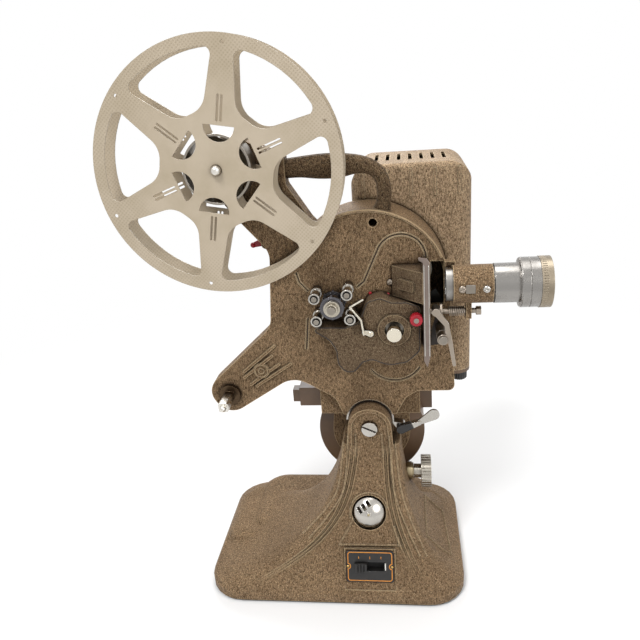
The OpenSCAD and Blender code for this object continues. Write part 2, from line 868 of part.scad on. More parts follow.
module main_casting() {
  lip = 1.2;
  color("#7d684e")
    difference() {
      union() {
        difference() {
          union() {
            slab(front_y, arm_back_y)
              head_2d(full_path);
            slab(front_y, back_y)
              head_2d(body_path);
          }
          slab(inner_y, arm_back_y + past)
            head_2d(full_path, side_t);
          slab(inner_y, back_y + past)
            head_2d(body_path, side_t);
        }
        // Raised lip along the round top
        slab(front_y - 0.8, front_y)
          arc_line(arc_c, body_r - lip, 23, 118, lip);
        slab(front_y - 1.3, front_y)
          arm_ornament_2d();
        // Arch for the pedestal's ear, pivot lug and the box behind it
        block([pivot_x - 21, inner_y - past, pivot_z + 6.7],
          [pivot_x + 21, lug_y0 + past, pivot_z + 26]);
        rod_y(pivot, lug_r, lug_y0, lug_y0 + lug_t);
        block([pivot_x - box_half, lug_y0, box_z0], [pivot_x + box_half, back_y, box_top]);
        slab(inner_y - past, arm_back_y)
          translate(rewind_c)
            circle(r = 4);
      }
      rod_y(pivot, arch_r, front_y - past, lug_y0);
      block([pivot_x - box_half + side_t, lug_y0 + lug_t, box_z0 + side_t],
        [pivot_x + box_half - side_t, back_y + past, box_top + past]);
      block([pivot_x - 15, lug_y0 + lug_t, box_z0 - past],
        [pivot_x + 18, back_y + past, box_z0 + side_t + past]);
      rod_y(pivot, pivot_r + run, lug_y0 - past, lug_y0 + lug_t + past);
      rod_y(pivot, 11, lug_y0 + lug_t, back_y);
      for (c = [feed_c, takeup_c, sprocket_c, shaft_c])
        rod_y(c, bush_out, front_y - past, inner_y + past);
      rod_y(light_c, light_r, front_y - past, inner_y + past);
      rod_y(rewind_c, 1.5 + run, arm_back_y - 6, arm_back_y + past);
      // Room for the large gear, and the opening behind the lens
      rod_y(sprocket_c, gear_r + gear_module + 0.8, gear_y0 - past, gear_y0 + gear_t + past);
      block([gate_side + 6, front_y - past, lens_z - 20], [throat_x, inner_y + past, lens_z + 14]);
      // Pin hole in the front, near the top
      rod_y([42, 302], 3.2, front_y - past, inner_y + past);
      // Threading lines
      slab(front_y - past, front_y + 0.6) {
        arc_line([61.5, 274], 18.6, -2, 160, 1);
        arc_line([54.5, 197], 23, 215, 330, 1);
        for (e = [[[44.1, 280.4], [33.4, 257]], [[33.4, 257], [27.6, 252.4]], [[-18, 266], [-16, 258]],
            [[-16, 258], [-9.5, 250.6]], [[-11.5, 229], [-14.7, 202]]])
          link_2d(e[0], 0.5, e[1], 0.51);
      }
    }
}

// Carrying handle: a round grip that swells in the middle
module carry_handle() {
  y = (front_y + arm_back_y) / 2;
  keys = [[handle_x0, 343.5, 7.2], [-9, 344, 7.7], [4, 343.7, 9], [18, 343.6, 9], [31, 344, 7],
    [41, 341.8, 5.7], [48, 335.8, 5.3], [50.8, 327, 5.2], [50.6, 317, 5.4], [47.6, 306, 7], [45, 297, 9]];
  per_key = 3;
  n = (len(keys) - 1) * per_key;
  sides = 14;
  color("#7d684e")
    difference() {
      stack([for (i = [0:n])
        let(
          p = spline(keys, i / per_key),
          a = spline(keys, max(i - 0.3, 0) / per_key),
          b = spline(keys, min(i + 0.3, n) / per_key),
          t = i == 0 ? [1, 0] : unit(xy(b) - xy(a)),
          up = [-t[1], t[0]]
        )
        [for (k = [0:sides - 1])
          let(c = p[2] * cos(360 * k / sides), d = min(p[2], 6.8) * sin(360 * k / sides))
          [p[0] + up[0] * c, y - d, p[1] + up[1] * c]]]);
      rod_y(arc_c, body_r, front_y - 10, back_y);
    }
}

// Sheet cover behind the body, which also carries the motor
module rear_cover() {
  color("#6f5d47")
    difference() {
      union() {
        slab(back_y, lamp_y0) {
          head_2d(body_path);
          translate([pivot_x - box_half, box_z0])
            square([2 * box_half, 40]);
          link_2d(motor_c, 34, [pivot_x, box_z0 + 10], 32, 32);
        }
        for (c = [sprocket_c, shaft_c])
          rod_y(c, shaft_r + 3, bearing_y0, lamp_y0);
      }
      for (c = [sprocket_c, shaft_c])
        rod_y(c, shaft_r + run, bearing_y0 - past, back_y + 0.5);
      rod_y(light_c, condenser_r, back_y - past, lamp_y0 + past);
      rod_y(motor_c, rotor_r + 6, back_y - past, lamp_y0 + past);
    }
}

cover_path = [
  [75, 241.6, 4], [66, 245, 7], [54, 245.5, 3], [46, 249.5, 6], [36, 246.5, 5],
  [29, 230.2, 6], [18, 226, 5], [-5.5, 226.5, 2], [-4.5, 223, 2], [5.3, 216.3, 8],
  [10.3, 208, 8], [11.2, 196, 7], [16, 188.6, 7], [24, 188.6, 7],
  [30, 196.5, 6], [38, 198.8, 8], [51, 193.8, 14], [65, 196.3, 10], [75, 206, 8]];

// The same without its thin left tip
cover_room = [for (p = cover_path) if (p[0] > 0) p];

// Raised cast cover over the intermittent movement
module mechanism_cover() {
  color("#7d684e")
    difference() {
      union() {
        slab(cover_y, front_y)
          polygon(rounded(cover_path));
        rod_y(shaft_c, 12.3, cover_y - 1.6, cover_y);
      }
      slab(cover_y + cover_t, front_y + past)
        polygon(rounded(inset(cover_room, cover_t)));
      rod_y(shaft_c, 7.3, cover_y - 2 - past, cover_y + cover_t + past);
    }
}

// Lamphouse

// Box with round upright corners r, round shoulders e and softer edges f in front and behind
module hood(x0, x1, y0, y1, z0, z1, r, e, f) {
  mid = [(x0 + x1) / 2, (y0 + y1) / 2];
  intersection() {
    translate([mid[0], mid[1], z0])
      linear_extrude(z1 - z0)
        plate_2d(x1 - x0, y1 - y0, r);
    slab(y0, y1)
      polygon(rounded([[x1, z0, 0], [x1, z1, e], [x0, z1, e], [x0, z0, 0]]));
    translate([x0, 0, 0])
      rotate([90, 0, 90])
        linear_extrude(x1 - x0)
          polygon(rounded([[y1, z0, 0], [y1, z1, f], [y0, z1, f], [y0, z0, 0]]));
  }
}

module lamphouse_cover() {
  x0 = light_x - lamp_w / 2;
  x1 = light_x + lamp_w / 2;
  y1 = lamp_y0 + lamp_d;
  ribs = 5;
  rib_step = 18.4;
  color("#7d684e")
    difference() {
      union() {
        hood(x0, x1, lamp_y0, y1, lamp_z0, lamp_top, lamp_corner, lamp_edge, lamp_brow);
        // Short ribs under the top edge, front and back
        for (k = [0:ribs - 1], y = [lamp_y0 + 0.1, y1 - 0.1])
          translate([light_x + rib_step * (k - (ribs - 1) / 2), y, lamp_top - 25])
            cylinder(r = 1.1, h = 21, $fn = 24);
      }
      hood(x0 + lamp_t, x1 - lamp_t, lamp_y0 + lamp_t, y1 - lamp_t, lamp_z0 - past, lamp_top - lamp_t,
        lamp_corner - lamp_t, lamp_edge - lamp_t, lamp_brow - 1);
      rod_y(arc_c, body_r + clear, lamp_y0 - 5, lamp_y0);
      block([light_x - condenser_r - 2, lamp_y0 - 5, lamp_z0 - past],
        [light_x + condenser_r + 2, lamp_y0 + 5, lens_z]);
      rod_y(light_c, condenser_r + 2, lamp_y0 - 5, lamp_y0 + 5);
      // Vents in the top and the back
      for (k = [-3:3]) {
        translate([light_x + k * 9, lamp_y0 + lamp_d / 2, lamp_top])
          cube([3, lamp_d - 44, 3 * lamp_t], center = true);
        translate([light_x + k * 9, y1, lamp_z0 + 30])
          cube([3, 3 * lamp_t, 24], center = true);
      }
    }
}

module lamphouse_floor() {
  room_w = lamp_w - 2 * lamp_t;
  room_d = lamp_d - 2 * lamp_t;
  x0 = light_x - lamp_w / 2;
  x1 = light_x + lamp_w / 2;
  y1 = lamp_y0 + lamp_d;
  duct = [34, 26];
  color("#5d5145")
    difference() {
      union() {
        translate([light_x, (lamp_y0 + y1) / 2, floor_z])
          linear_extrude(floor_t)
            plate_2d(lamp_w, lamp_d, lamp_corner);
        block([light_x - 12, lamp_y0, floor_z], [light_x + 12, lamp_y0 + lamp_t, lamp_z0 + 34]);
        translate([light_x, (lamp_y0 + y1) / 2, lamp_z0])
          linear_extrude(3)
            difference() {
              plate_2d(room_w - 1, room_d - 1, lamp_corner - lamp_t - 0.5);
              plate_2d(room_w - 5, room_d - 5, lamp_corner - lamp_t - 2.5);
              translate([-condenser_r - 2, -lamp_d])
                square([2 * condenser_r + 4, lamp_d - 10]);
            }
        translate([motor_x + 20, motor_y0 + 20, motor_z + 10])
          cube([duct[0], duct[1], floor_z - motor_z - 10 + floor_t / 2]);
      }
      translate([motor_x + 22, motor_y0 + 22, motor_z])
        cube([duct[0] - 4, duct[1] - 4, 100]);
      rod_y(motor_c, motor_r, motor_y0 - 20, motor_y0 + motor_len + 40);
    }
}

module lamp_socket() {
  color("#d8cdb8")
    difference() {
      translate([lamp_x, lamp_y, lamp_z0])
        cylinder(r = 20, h = 18);
      translate([lamp_x, lamp_y, lamp_z0 + 4])
        cylinder(r = 15, h = 30);
    }
}

// Tubular lamp, filament at the height of the lens axis
module lamp() {
  color("#e9e6dd")
    translate([lamp_x, lamp_y, 0]) {
      translate([0, 0, lamp_z0 + 4])
        cylinder(r = 15, h = 20);
      translate([0, 0, lamp_z0 + 24])
        cylinder(r = lamp_r, h = lens_z + 18 - lamp_z0 - 24);
      translate([0, 0, lens_z + 18])
        scale(lamp_r / 10)
          sphere(r = 10);
    }
}

// Concave mirror behind the lamp, on its post
module reflector() {
  ball = 30;
  face_r = 17;
  sag = ball - sqrt(ball * ball - face_r * face_r);
  y = lamp_y + lamp_r + 4;
  color("#c4c3bf") {
    difference() {
      rod_y(light_c, face_r, y, y + sag + 1.5);
      translate([lamp_x, y + sag - ball, lens_z])
        sphere(r = ball);
    }
    block([lamp_x - 6, y + sag - 1.5, lamp_z0], [lamp_x + 6, y + sag + 1.5, lens_z - face_r + 4]);
    block([lamp_x - 10, y + sag - 1.5, lamp_z0], [lamp_x + 10, y + sag + 5, lamp_z0 + 2]);
  }
}

module condenser_barrel() {
  color("#8f8a80")
    difference() {
      union() {
        rod_y(light_c, condenser_r, back_y - 9, lamp_y0 + 12);
        rod_y(light_c, condenser_r + 1.7, lamp_y0, lamp_y0 + lamp_t);
      }
      rod_y(light_c, condenser_r - 2, back_y - 10, lamp_y0 + 13);
    }
}

// Two plano-convex lenses, curved faces inwards
module condenser_lenses() {
  r = condenser_r - 2;
  ball = 24;
  sag = ball - sqrt(ball * ball - r * r);
  color("#cfe0e4")
    for (e = [[back_y - 8, 1], [lamp_y0 + 11, -1]])
      intersection() {
        rod_y(light_c, r, e[0] - 10, e[0] + 10);
        translate([light_x, e[0] + e[1] * (sag + 2 - ball), lens_z])
          sphere(r = ball);
        block([light_x - 20, min(e[0], e[0] + e[1] * 20), lens_z - 20],
          [light_x + 20, max(e[0], e[0] + e[1] * 20), lens_z + 20]);
      }
}

// Gate

// Cast box that turns the light into the gate, with its sloping door
module gate_casting() {
  rib_y = 1.5;
  color("#73604a")
    difference() {
      union() {
        translate([0, 0, block_z0])
          linear_extrude(block_h)
            polygon([[gate_side, front_y], [block_left, front_y],
              [block_left, door_line - block_left], [gate_side, door_line - gate_side]]);
        translate([door_line - film_y, film_y, lens_z])
          rotate([0, 0, -45])
            translate([-1, -rib_y, 0])
              slab(0, rib_y + 1)
                plate_2d(16, 8, 2);
      }
      intersection() {
        union() {
          rod_y(light_c, light_r, film_y - 20, front_y + past);
          rod_x(lens_c, light_r, light_x - 20, gate_side + past);
        }
        translate([light_x, film_y, lens_z])
          rotate([0, 0, -45])
            translate([-40, -1.5, -40])
              cube(80);
      }
    }
}

// Flat mirror at 45 degrees in the end of the light bore
module gate_mirror() {
  color("#c8cdd0")
    intersection() {
      rod_y(light_c, light_r - 0.05, film_y - 20, front_y);
      translate([light_x, film_y, lens_z])
        rotate([0, 0, -45])
          translate([-40, -1.5, -40])
            cube([80, 1.5, 80]);
    }
}

// Steel film channel with its front lip, bent over at the top and pointed below
module gate_channel() {
  lip_w = 4.7;
  lip_t = 1.4;
  color("#a8a19a")
    difference() {
      union() {
        block([gate_side, gate_y0, gate_z0 + 6],
          [gate_side + gate_t, gate_y1, gate_top - 4]);
        slab(gate_y0, gate_y0 + lip_t)
          polygon([[gate_side, gate_z0 + 5], [gate_side + lip_w / 2, gate_z0],
            [gate_side + lip_w, gate_z0 + 9], [gate_side + lip_w, gate_top - 4],
            [gate_side + lip_w - 2, gate_top - 1],
            [gate_side - 3, gate_top], [gate_side - 3, gate_top - 2], [gate_side, gate_top - 4]]);
        for (z = [gate_z0 + 8, gate_top - 16])
          block([gate_side, gate_y1 - past, z], [gate_side + gate_t, front_y, z + 10]);
      }
      block([gate_side - past, film_y - 4.9, lens_z - 3.7],
        [gate_side + gate_t + past, film_y + 4.9, lens_z + 3.7]);
    }
}

// Sprung film pressure plate with the rod that opens it
module pressure_plate() {
  x0 = gate_x + 0.1;
  t = 1.8;
  color("#b5b0a8")
    difference() {
      union() {
        block([x0, film_y - 8, lens_z - 30], [x0 + t, film_y + 8, lens_z + 18]);
        rod_x(rod_c, rod_r, x0 + t, rod_end);
        rod_x(rod_c, 6.5, collar_x, collar_x + 1.6);
        rod_x(rod_c, 3.3, bracket_x1 + gate_travel + 0.5, rod_end);
      }
      block([x0 - past, film_y - 5.2, lens_z - 4], [x0 + t + past, film_y + 5.2, lens_z + 4]);
    }
}

// Bent lever that draws the pressure plate back
module gate_lever() {
  pin = [pin_x, pin_z];
  elbow = [93.6, lens_z - 27];
  color("#9d968e")
    difference() {
      union() {
        slab(lever_y0, lever_y0 + lever_t) {
          link_2d(pin, 2.4, elbow, 1.7);
          link_2d(elbow, 1.7, [96.4, lens_z - 42], 1.6);
          link_2d([96.4, lens_z - 42], 1.6, [tail_x, tail_z], 1.3);
          link_2d(lever_c, 3.4, [95, lens_z - 37.5], 2);
        }
        rod_y(lever_c, 4.2, lever_y0, lever_y0 + 8);
        rod_y(pin, 2.9, lever_y0 - 1, film_y - 2.6);
      }
      rod_y(lever_c, lever_stud_r + run, lever_y0 - past, lever_y0 + 8 + past);
    }
}

// Points of the gate spring's middle line
spring_turns = 8;
spring_r = 3.5;
spring_wire = 0.45;
spring_x1 = bracket_x0 - spring_wire - 0.05;
spring_x0 = spring_x1 - 12;
function spring_point(t) = [
  spring_x0 + (spring_x1 - spring_x0) * t,
  film_y + spring_r * cos(360 * spring_turns * t),
  rod_z + spring_r * sin(360 * spring_turns * t)];
echo(spring_self_gap = (spring_x1 - spring_x0) / spring_turns - 2 * spring_wire);

module gate_spring() {
  rings = spring_turns * 8;
  sides = 6;
  color("#c2beb6")
    stack([for (i = [0:rings])
      let(
        p = spring_point(i / rings),
        t = unit(spring_point((i + 0.5) / rings) - spring_point((i - 0.5) / rings)),
        out = unit([0, p[1] - film_y, p[2] - rod_z]),
        side = cross(t, out)
      )
      [for (k = [0:sides - 1])
        p + spring_wire * (out * cos(360 * k / sides) + side * sin(360 * k / sides))]]);
}

// Lens

module lens_mount() {
  color("#7d684e")
    difference() {
      union() {
        rod_x(lens_c, mount_r, mount_x0 + 1.5, mount_x1);
        block([throat_x + 0.5, -24, lens_z - 15], [mount_x0 + 4, front_y, lens_z + 15]);
        block([bracket_x0, film_y - 4, rod_z - 5], [bracket_x1, film_y + 4, lens_z - barrel_r - 1]);
      }
      rod_x(lens_c, barrel_r + run, 80, mount_x1 + past);
      rod_x(rod_c, rod_r + run, bracket_x0 - past, bracket_x1 + past);
      // Bare recessed plate on the front of the mount
      translate([mount_x0 + 12, film_y - mount_r, lens_z - 6])
        cube([14, 1.2, 7], center = true);
    }
}

module lens_barrel() {
  color("#c9c7c3")
    difference() {
      union() {
        rod_x(lens_c, barrel_r, mount_x0 - 3.5, chrome_x + 2);
        rod_x(lens_c, mount_r + 0.4, chrome_x, big_x);
        rod_x(lens_c, lens_r, big_x, ring_x);
      }
      rod_x(lens_c, barrel_r - 2, mount_x0 - 5, ring_x);
      rod_x(lens_c, lens_r - 2.5, big_x + 5, ring_x + past);
      for (x = [big_x, big_x + 6])
        translate([x, film_y, lens_z])
          rotate([0, 90, 0])
            difference() {
              cylinder(r = lens_r + 2, h = 0.8);
              cylinder(r = lens_r - 0.5, h = 3, center = true);
            }
    }
}

// Ring round the front glass, with a fine coin edge
module lens_front_ring() {
  edge = 60;
  color("#b9b6b1")
    difference() {
      rod_x(lens_c, lens_r + 0.4, ring_x, lens_front);
      rod_x(lens_c, lens_r - 2.5, ring_x - past, lens_front - 3);
      rod_x(lens_c, lens_r - 1.5, lens_front - 4, lens_front + past);
      for (k = [0:edge - 1])
        translate([ring_x + 2.5, film_y, lens_z])
          rotate([360 * k / edge, 0, 0])
            translate([0, 0, lens_r + 0.5])
              rotate([45, 0, 0])
                cube([3, 0.7, 0.7], center = true);
    }
}

// Round glass, flat at x and domed towards +X or -X
module dome_glass(x, way, r, t, ball) {
  translate([x, film_y, lens_z])
    rotate([0, way * 90, 0])
      rotate_extrude()
        intersection() {
          square([r, t]);
          translate([0, t - ball])
            circle(r = ball);
        }
}

// Front and rear glasses of the lens
module lens_elements() {
  color("#b7cbd6") {
    dome_glass(ring_x - 4, 1, lens_r - 2.5, 7, 40);
    dome_glass(mount_x0 + 6, -1, barrel_r - 2, 6, 22);
  }
}

// Film path

roller_at = [[-12.7, 8], [11.6, 10.4], [-12.2, -9.8], [13, -8.9]];
function roller_c(i) = sprocket_c + roller_at[i];
roller_y0 = film_y - 9.5;
roller_y1 = film_y + 6.5;
wheel_c = [71.9, 233.5];
wheel_y0 = cover_y - 8;
wheel_y1 = cover_y - 2.5;

// Bronze bushes of the four shafts
module shaft_bushes() {
  color("#a5834e")
    for (e = [[feed_c, spindle_sq / 2 - 0.6], [takeup_c, spindle_sq / 2 - 0.6],
        [sprocket_c, shaft_r], [shaft_c, shaft_r]])
      difference() {
        rod_y(e[0], bush_out, bush_y0, inner_y);
        rod_y(e[0], e[1] + run, bush_y0 - past, inner_y + past);
      }
}

// Studs that carry the rollers, the red wheel and the gate lever
module film_studs() {
  color("#b5b1a9") {
    for (i = [0:3]) {
      rod_y(roller_c(i), stud_r, roller_y0 - 1.2, front_y);
      rod_y(roller_c(i), stud_r + 0.4, roller_y0 - 1.2, roller_y0 - 0.2);
      rod_y(roller_c(i), stud_r + 1.6, roller_y1 + 0.2, front_y);
    }
    rod_y(wheel_c, stud_r, wheel_y0 - 1, cover_y);
    rod_y(wheel_c, stud_r + 0.3, wheel_y0 - 1, wheel_y0 - 0.2);
    rod_y(wheel_c, stud_r + 0.8, wheel_y1 + 0.2, cover_y);
    rod_y(lever_c, lever_stud_r, lever_y0 - 1.2, front_y);
    rod_y(lever_c, lever_stud_r + 0.5, lever_y0 - 1.2, lever_y0 - 0.2);
    rod_y(lever_c, lever_stud_r + 2, lever_y0 + 8.2, front_y);
  }
}

// Film roller with two raised ends and a recessed front
module roller(i) {
  color("#c5c2bc")
    difference() {
      union() {
        rod_y(roller_c(i), roller_r - 0.8, roller_y0, roller_y1);
        for (y = [roller_y0, roller_y1 - 2.2])
          rod_y(roller_c(i), roller_r, y, y + 2.2);
      }
      rod_y(roller_c(i), stud_r + run, roller_y0 - past, roller_y1 + past);
      rod_y(roller_c(i), roller_r - 1.1, roller_y0 - past, roller_y0 + 1.4);
    }
}

module red_wheel() {
  r = 4.7;
  color("#b0162c")
    difference() {
      rod_y(wheel_c, r, wheel_y0, wheel_y1);
      rod_y(wheel_c, stud_r + run, wheel_y0 - past, wheel_y1 + past);
      for (k = [0:15])
        translate([wheel_c[0], wheel_y1, wheel_c[1]])
          rotate([0, 22.5 * k, 0])
            translate([r + 0.3, 0, 0])
              rotate([90, 0, 0])
                cylinder(r = 0.7, h = 20, center = true, $fn = 16);
    }
}

// Spring strip that keeps the film off the sprocket
module film_stripper() {
  line = [[33.2, 250], [23.6, 244.4], [31.4, 233.8], [32.9, 222.4]];
  screw = [37.6, 221];
  color("#b9b3a6") {
    slab(cover_y - 6, cover_y - 1)
      for (k = [0:2])
        link_2d(line[k], 0.6, line[k + 1], 0.61);
    slab(cover_y - 1.2, cover_y)
      link_2d(line[3], 1.4, screw, 2.4);
    rod_y(screw, 2, cover_y - 2.2, cover_y - 1);
  }
}

// Main shaft with its cam, pinion and pulley
module main_shaft() {
  color("#aaa59c") {
    rod_y(shaft_c, shaft_r, cover_y - 7, shaft_end);
    rod_y(shaft_c + [1.5, 0], 8.5, cover_y + 5, cover_y + 10);
    slab(gear_y0 - 0.5, gear_y0 + gear_t + 0.5)
      translate(shaft_c)
        rotate(sprocket_dir + 180 / pinion_teeth)
          gear_2d(pinion_teeth, gear_module);
    pulley(shaft_c, main_pulley_r, belt_y);
  }
}

module inching_knob() {
  color("#d8d2c2")
    difference() {
      union() {
        rod_y(shaft_c, 5.35, cover_y - 11.5, cover_y - 3);
        rod_y(shaft_c, 4.6, cover_y - 3, cover_y + 1);
      }
      rod_y(shaft_c, shaft_r, cover_y - 7, cover_y + 2);
    }
}

// Two-bladed shutter on the main shaft
module shutter() {
  color("#3a3835")
    difference() {
      union() {
        slab(shutter_y, shutter_y + shutter_t)
          translate(shaft_c)
            difference() {
              circle(r = shutter_r);
              for (a = [70, 250])
                rotate(a - 35)
                  polygon(concat(
                    [for (k = [0:7]) (shutter_r + 1) * [cos(10 * k), sin(10 * k)]],
                    [for (k = [7:-1:0]) 14 * [cos(10 * k), sin(10 * k)]]));
            }
        rod_y(shaft_c, 7, shutter_y, shutter_y + 5);
      }
      rod_y(shaft_c, shaft_r, shutter_y - past, shutter_y + 5 + past);
    }
}

// Sprocket with a row of eight teeth on each rim
module sprocket() {
  teeth = 8;
  spread = 6.15;
  color("#c0bdb7")
    difference() {
      union() {
        rod_y(sprocket_c, sprocket_r - 1.2, film_y - 7.9, film_y + 7.9);
        for (s = [-1, 1]) {
          rod_y(sprocket_c, sprocket_r, film_y + s * spread - 1.6, film_y + s * spread + 1.6);
          for (k = [0:teeth - 1])
            translate([sprocket_x, film_y + s * spread, sprocket_z])
              rotate([0, 360 * k / teeth, 0])
                translate([sprocket_r - 0.5, 0, 0])
                  cube([2.6, 1.4, 1.2], center = true);
        }
        rod_y(sprocket_c, 6.2, film_y - 10, film_y - 7);
        rod_y(sprocket_c, 4.4, film_y - 12.5, film_y - 9);
        rod_y(sprocket_c, 5, film_y + 7, bush_y0 - 0.1);
      }
      rod_y(sprocket_c, shaft_r, film_y - 20, front_y);
    }
}

// Sprocket shaft with the large gear and the take-up drive pulley
module sprocket_gear() {
  color("#b39a5e")
    difference() {
      union() {
        rod_y(sprocket_c, shaft_r, film_y - 14.5, shaft_end);
        slab(gear_y0, gear_y0 + gear_t)
          translate(sprocket_c)
            rotate(sprocket_dir)
              gear_2d(pinion_teeth * gear_ratio, gear_module);
        rod_y(sprocket_c, 7, gear_y0 - 3, gear_y0 + gear_t + 2);
        pulley(sprocket_c, drive_pulley_r, takeup_belt_y);
      }
      for (k = [0:5])
        rod_y(sprocket_c + 27 * [cos(60 * k), sin(60 * k)], 9,
          gear_y0 - past, gear_y0 + gear_t + past);
    }
}

// Reel and spindles

// Square spindle with a round journal, a shoulder and a round nose of radius r before y
module spindle(c, tip_y, r, y) {
  journal = spindle_sq / 2 - 0.6;
  intersection() {
    union() {
      translate([c[0], (y + reel_y1 + past) / 2, c[1]])
        cube([spindle_sq, reel_y1 + past - y, spindle_sq], center = true);
      rod_y(c, r, tip_y + r, y + 2);
      translate([c[0], tip_y + r, c[1]])
        sphere(r = r);
    }
    // The square's corners are turned down
    rod_y(c, spindle_sq * 0.6, tip_y - past, reel_y1 + past);
  }
  rod_y(c, 9, reel_y1, bush_y0 - 0.1);
  rod_y(c, journal, reel_y1, arm_back_y - 1);
}

module feed_spindle() {
  color("#b4b0a7") {
    spindle(feed_c, reel_y0 - 5, nose_r, reel_y1 - 8);
    rod_y(feed_c, 8, inner_y + 0.2, arm_back_y - 2);
  }
}

module takeup_spindle() {
  color("#b4b0a7") {
    spindle(takeup_c, reel_y0 - 6, 2.6, reel_y0 - 2);
    pulley(takeup_c, takeup_pulley_r, takeup_belt_y);
  }
}

// Outline of the window between two spokes, on the X axis
function petal(r_in, r_out, half_in, half_a) = concat(
  [[r_in, -half_in, 1.5 * half_in]],
  [for (a = [-half_a:half_a / 5:half_a + 0.1])
    [r_out * cos(a), r_out * sin(a), abs(a) > 0.99 * half_a ? 5 : 0]],
  [[r_in, half_in, 1.5 * half_in]]);

// One flange with its petal windows, and a half-moon and two slots on each spoke
module flange_2d(square_hole) {
  rim_w = 8.4;
  spokes = 6;
  moon_r = 11;
  r = reel_d / 2;
  difference() {
    circle(r = r, $fn = 128);
    if (square_hole)
      square(spindle_sq + 0.2, center = true);
    else
      circle(r = nose_r + 0.1);
    for (k = [0:spokes - 1])
      rotate(360 / spokes * k + 20) {
        rotate(180 / spokes)
          polygon(rounded(petal(core_r + 18.5, r - rim_w, 10.4, 24.9)));
        intersection() {
          translate([core_r + 8.3, 0])
            circle(r = moon_r);
          translate([core_r - 7.7, -2 * moon_r])
            square([16, 4 * moon_r]);
        }
        for (s = [-1, 1])
          link_2d([core_r + 11.5, s * 1.4], 0.8, [core_r + 28, s * 1.4], 0.81, 6);
        translate([r - 0.68 * rim_w, 0])
          circle(r = 1.3);
      }
  }
}

module reel_flanges() {
  color("#c4b99b")
    for (y = [reel_y0, reel_y1 - flange_t])
      slab(y, y + flange_t)
        translate(feed_c)
          flange_2d(y > film_y);
}

module reel_core() {
  color("#a8a294")
    difference() {
      rod_y(feed_c, core_r + 2.5, reel_y0 + flange_t, reel_y1 - flange_t);
      rod_y(feed_c, core_r + 1, reel_y0, reel_y1);
    }
}

// Belts

module takeup_belt() {
  color("#3b342d")
    belt(takeup_c, takeup_pulley_r, sprocket_c, drive_pulley_r, takeup_belt_y);
}

module drive_belt() {
  color("#3b342d")
    belt(motor_c, motor_pulley_r, shaft_c, main_pulley_r, belt_y);
}

// Motor

module motor_body() {
  color("#5f4b3a")
    difference() {
      union() {
        rod_y(motor_c, motor_r, motor_y0, motor_y1);
      }
      rod_y(motor_c, motor_r - motor_wall, motor_y0 + motor_wall, motor_y1 + past);
      rod_y(motor_c, rotor_r + run, motor_y0 - past, motor_y1);
      translate([motor_x + 22, motor_y0 + 22, motor_z])
        cube([30, 22, 100]);
    }
}

// Domed end of the motor with air slots
module motor_cap() {
  slots = 10;
  room_r = motor_r - motor_wall;
  room_len = motor_cap_len - motor_wall;
  color("#5f4b3a")
    difference() {
      translate([motor_x, motor_y1, motor_z])
        rotate([-90, 0, 0])
          rotate_extrude() {
            difference() {
              polygon(rounded([[0, 0, 0], [motor_r, 0, 0],
                [motor_r, motor_cap_len, 9], [0, motor_cap_len, 0]]));
              polygon(rounded([[-past, -past, 0], [room_r, -past, 0],
                [room_r, room_len, 7], [-past, room_len, 0]]));
            }
            translate([rotor_r + run, motor_cap_len - 8])
              square([4, 7]);
          }
      for (k = [0:slots - 1])
        translate([motor_x, motor_y1 + motor_cap_len, motor_z])
          rotate([0, 360 * k / slots, 0])
            translate([26, 0, 0])
              cube([18, 4 * motor_wall, 4], center = true);
    }
}

// Armature, shaft, pulley and blower wheel in one turning piece
module motor_rotor() {
  blades = 10;
  fan_y0 = motor_y0 + 24;
  fan_y1 = motor_y0 + 42;
  fan_r = motor_r - 7;
  color("#8a7f70") {
    rod_y(motor_c, rotor_r, belt_y - belt_w, motor_y1 + motor_cap_len - motor_wall - 0.5);
    rod_y(motor_c, 24, motor_y0 + 5, motor_y0 + 21);
    pulley(motor_c, motor_pulley_r, belt_y);
    rod_y(motor_c, fan_r, fan_y0, fan_y0 + 1.5);
    for (k = [0:blades - 1])
      translate([motor_x, fan_y0, motor_z])
        rotate([0, 360 * k / blades, 0])
          translate([fan_r - 15, 0, -0.75])
            cube([14, fan_y1 - fan_y0, 1.5]);
  }
}

// Small pieces on the back of the arms and body

module rewind_lever() {
  tip = rewind_c + [-13, -3.6];
  color("#a3201f") {
    slab(arm_back_y + 0.1, arm_back_y + 2)
      link_2d(rewind_c, 3.6, tip, 1.8);
    rod_y(rewind_c, 1.5, arm_back_y - 5.5, arm_back_y + 2);
    translate([tip[0], arm_back_y + 1, tip[1]])
      sphere(r = 2.2);
  }
}

// Block with the power inlet, at the left of the box under the body
module inlet_block() {
  x1 = pivot_x - box_half;
  color("#4a4038")
    difference() {
      union() {
        block([x1 - 20, 5, box_z0], [x1, back_y, box_z0 + 17]);
        block([x1 - 26, 7, box_z0 + 3], [x1 - 20, back_y - 2, box_z0 + 14]);
      }
      for (y = [10, 14])
        block([x1 - 26 - past, y - 1, box_z0 + 5.5], [x1 - 22, y + 1, box_z0 + 11.5]);
    }
}

base_casting();
base_plate();
base_pad();
switch_plate();
switch_body();
switch_slider();
pilot_lamp();
pilot_shade();
tilt_bush();
tilt_worm();
tilt_knob();
tilt_pivot_screw();
main_casting();
carry_handle();
rear_cover();
mechanism_cover();
tilt_band();
tilt_lock_lever();
tilt_sector();
lamphouse_floor();
lamphouse_cover();
lamp_socket();
lamp();
reflector();
condenser_barrel();
condenser_lenses();
gate_casting();
gate_mirror();
gate_channel();
pressure_plate();
gate_lever();
gate_spring();
lens_mount();
lens_barrel();
lens_front_ring();
lens_elements();
shaft_bushes();
film_studs();
main_shaft();
inching_knob();
shutter();
sprocket();
sprocket_gear();
roller(0);  // roller_1
roller(1);  // roller_2
roller(2);  // roller_3
roller(3);  // roller_4
red_wheel();
film_stripper();
feed_spindle();
reel_flanges();
reel_core();
takeup_spindle();
takeup_belt();
drive_belt();
motor_body();
motor_cap();
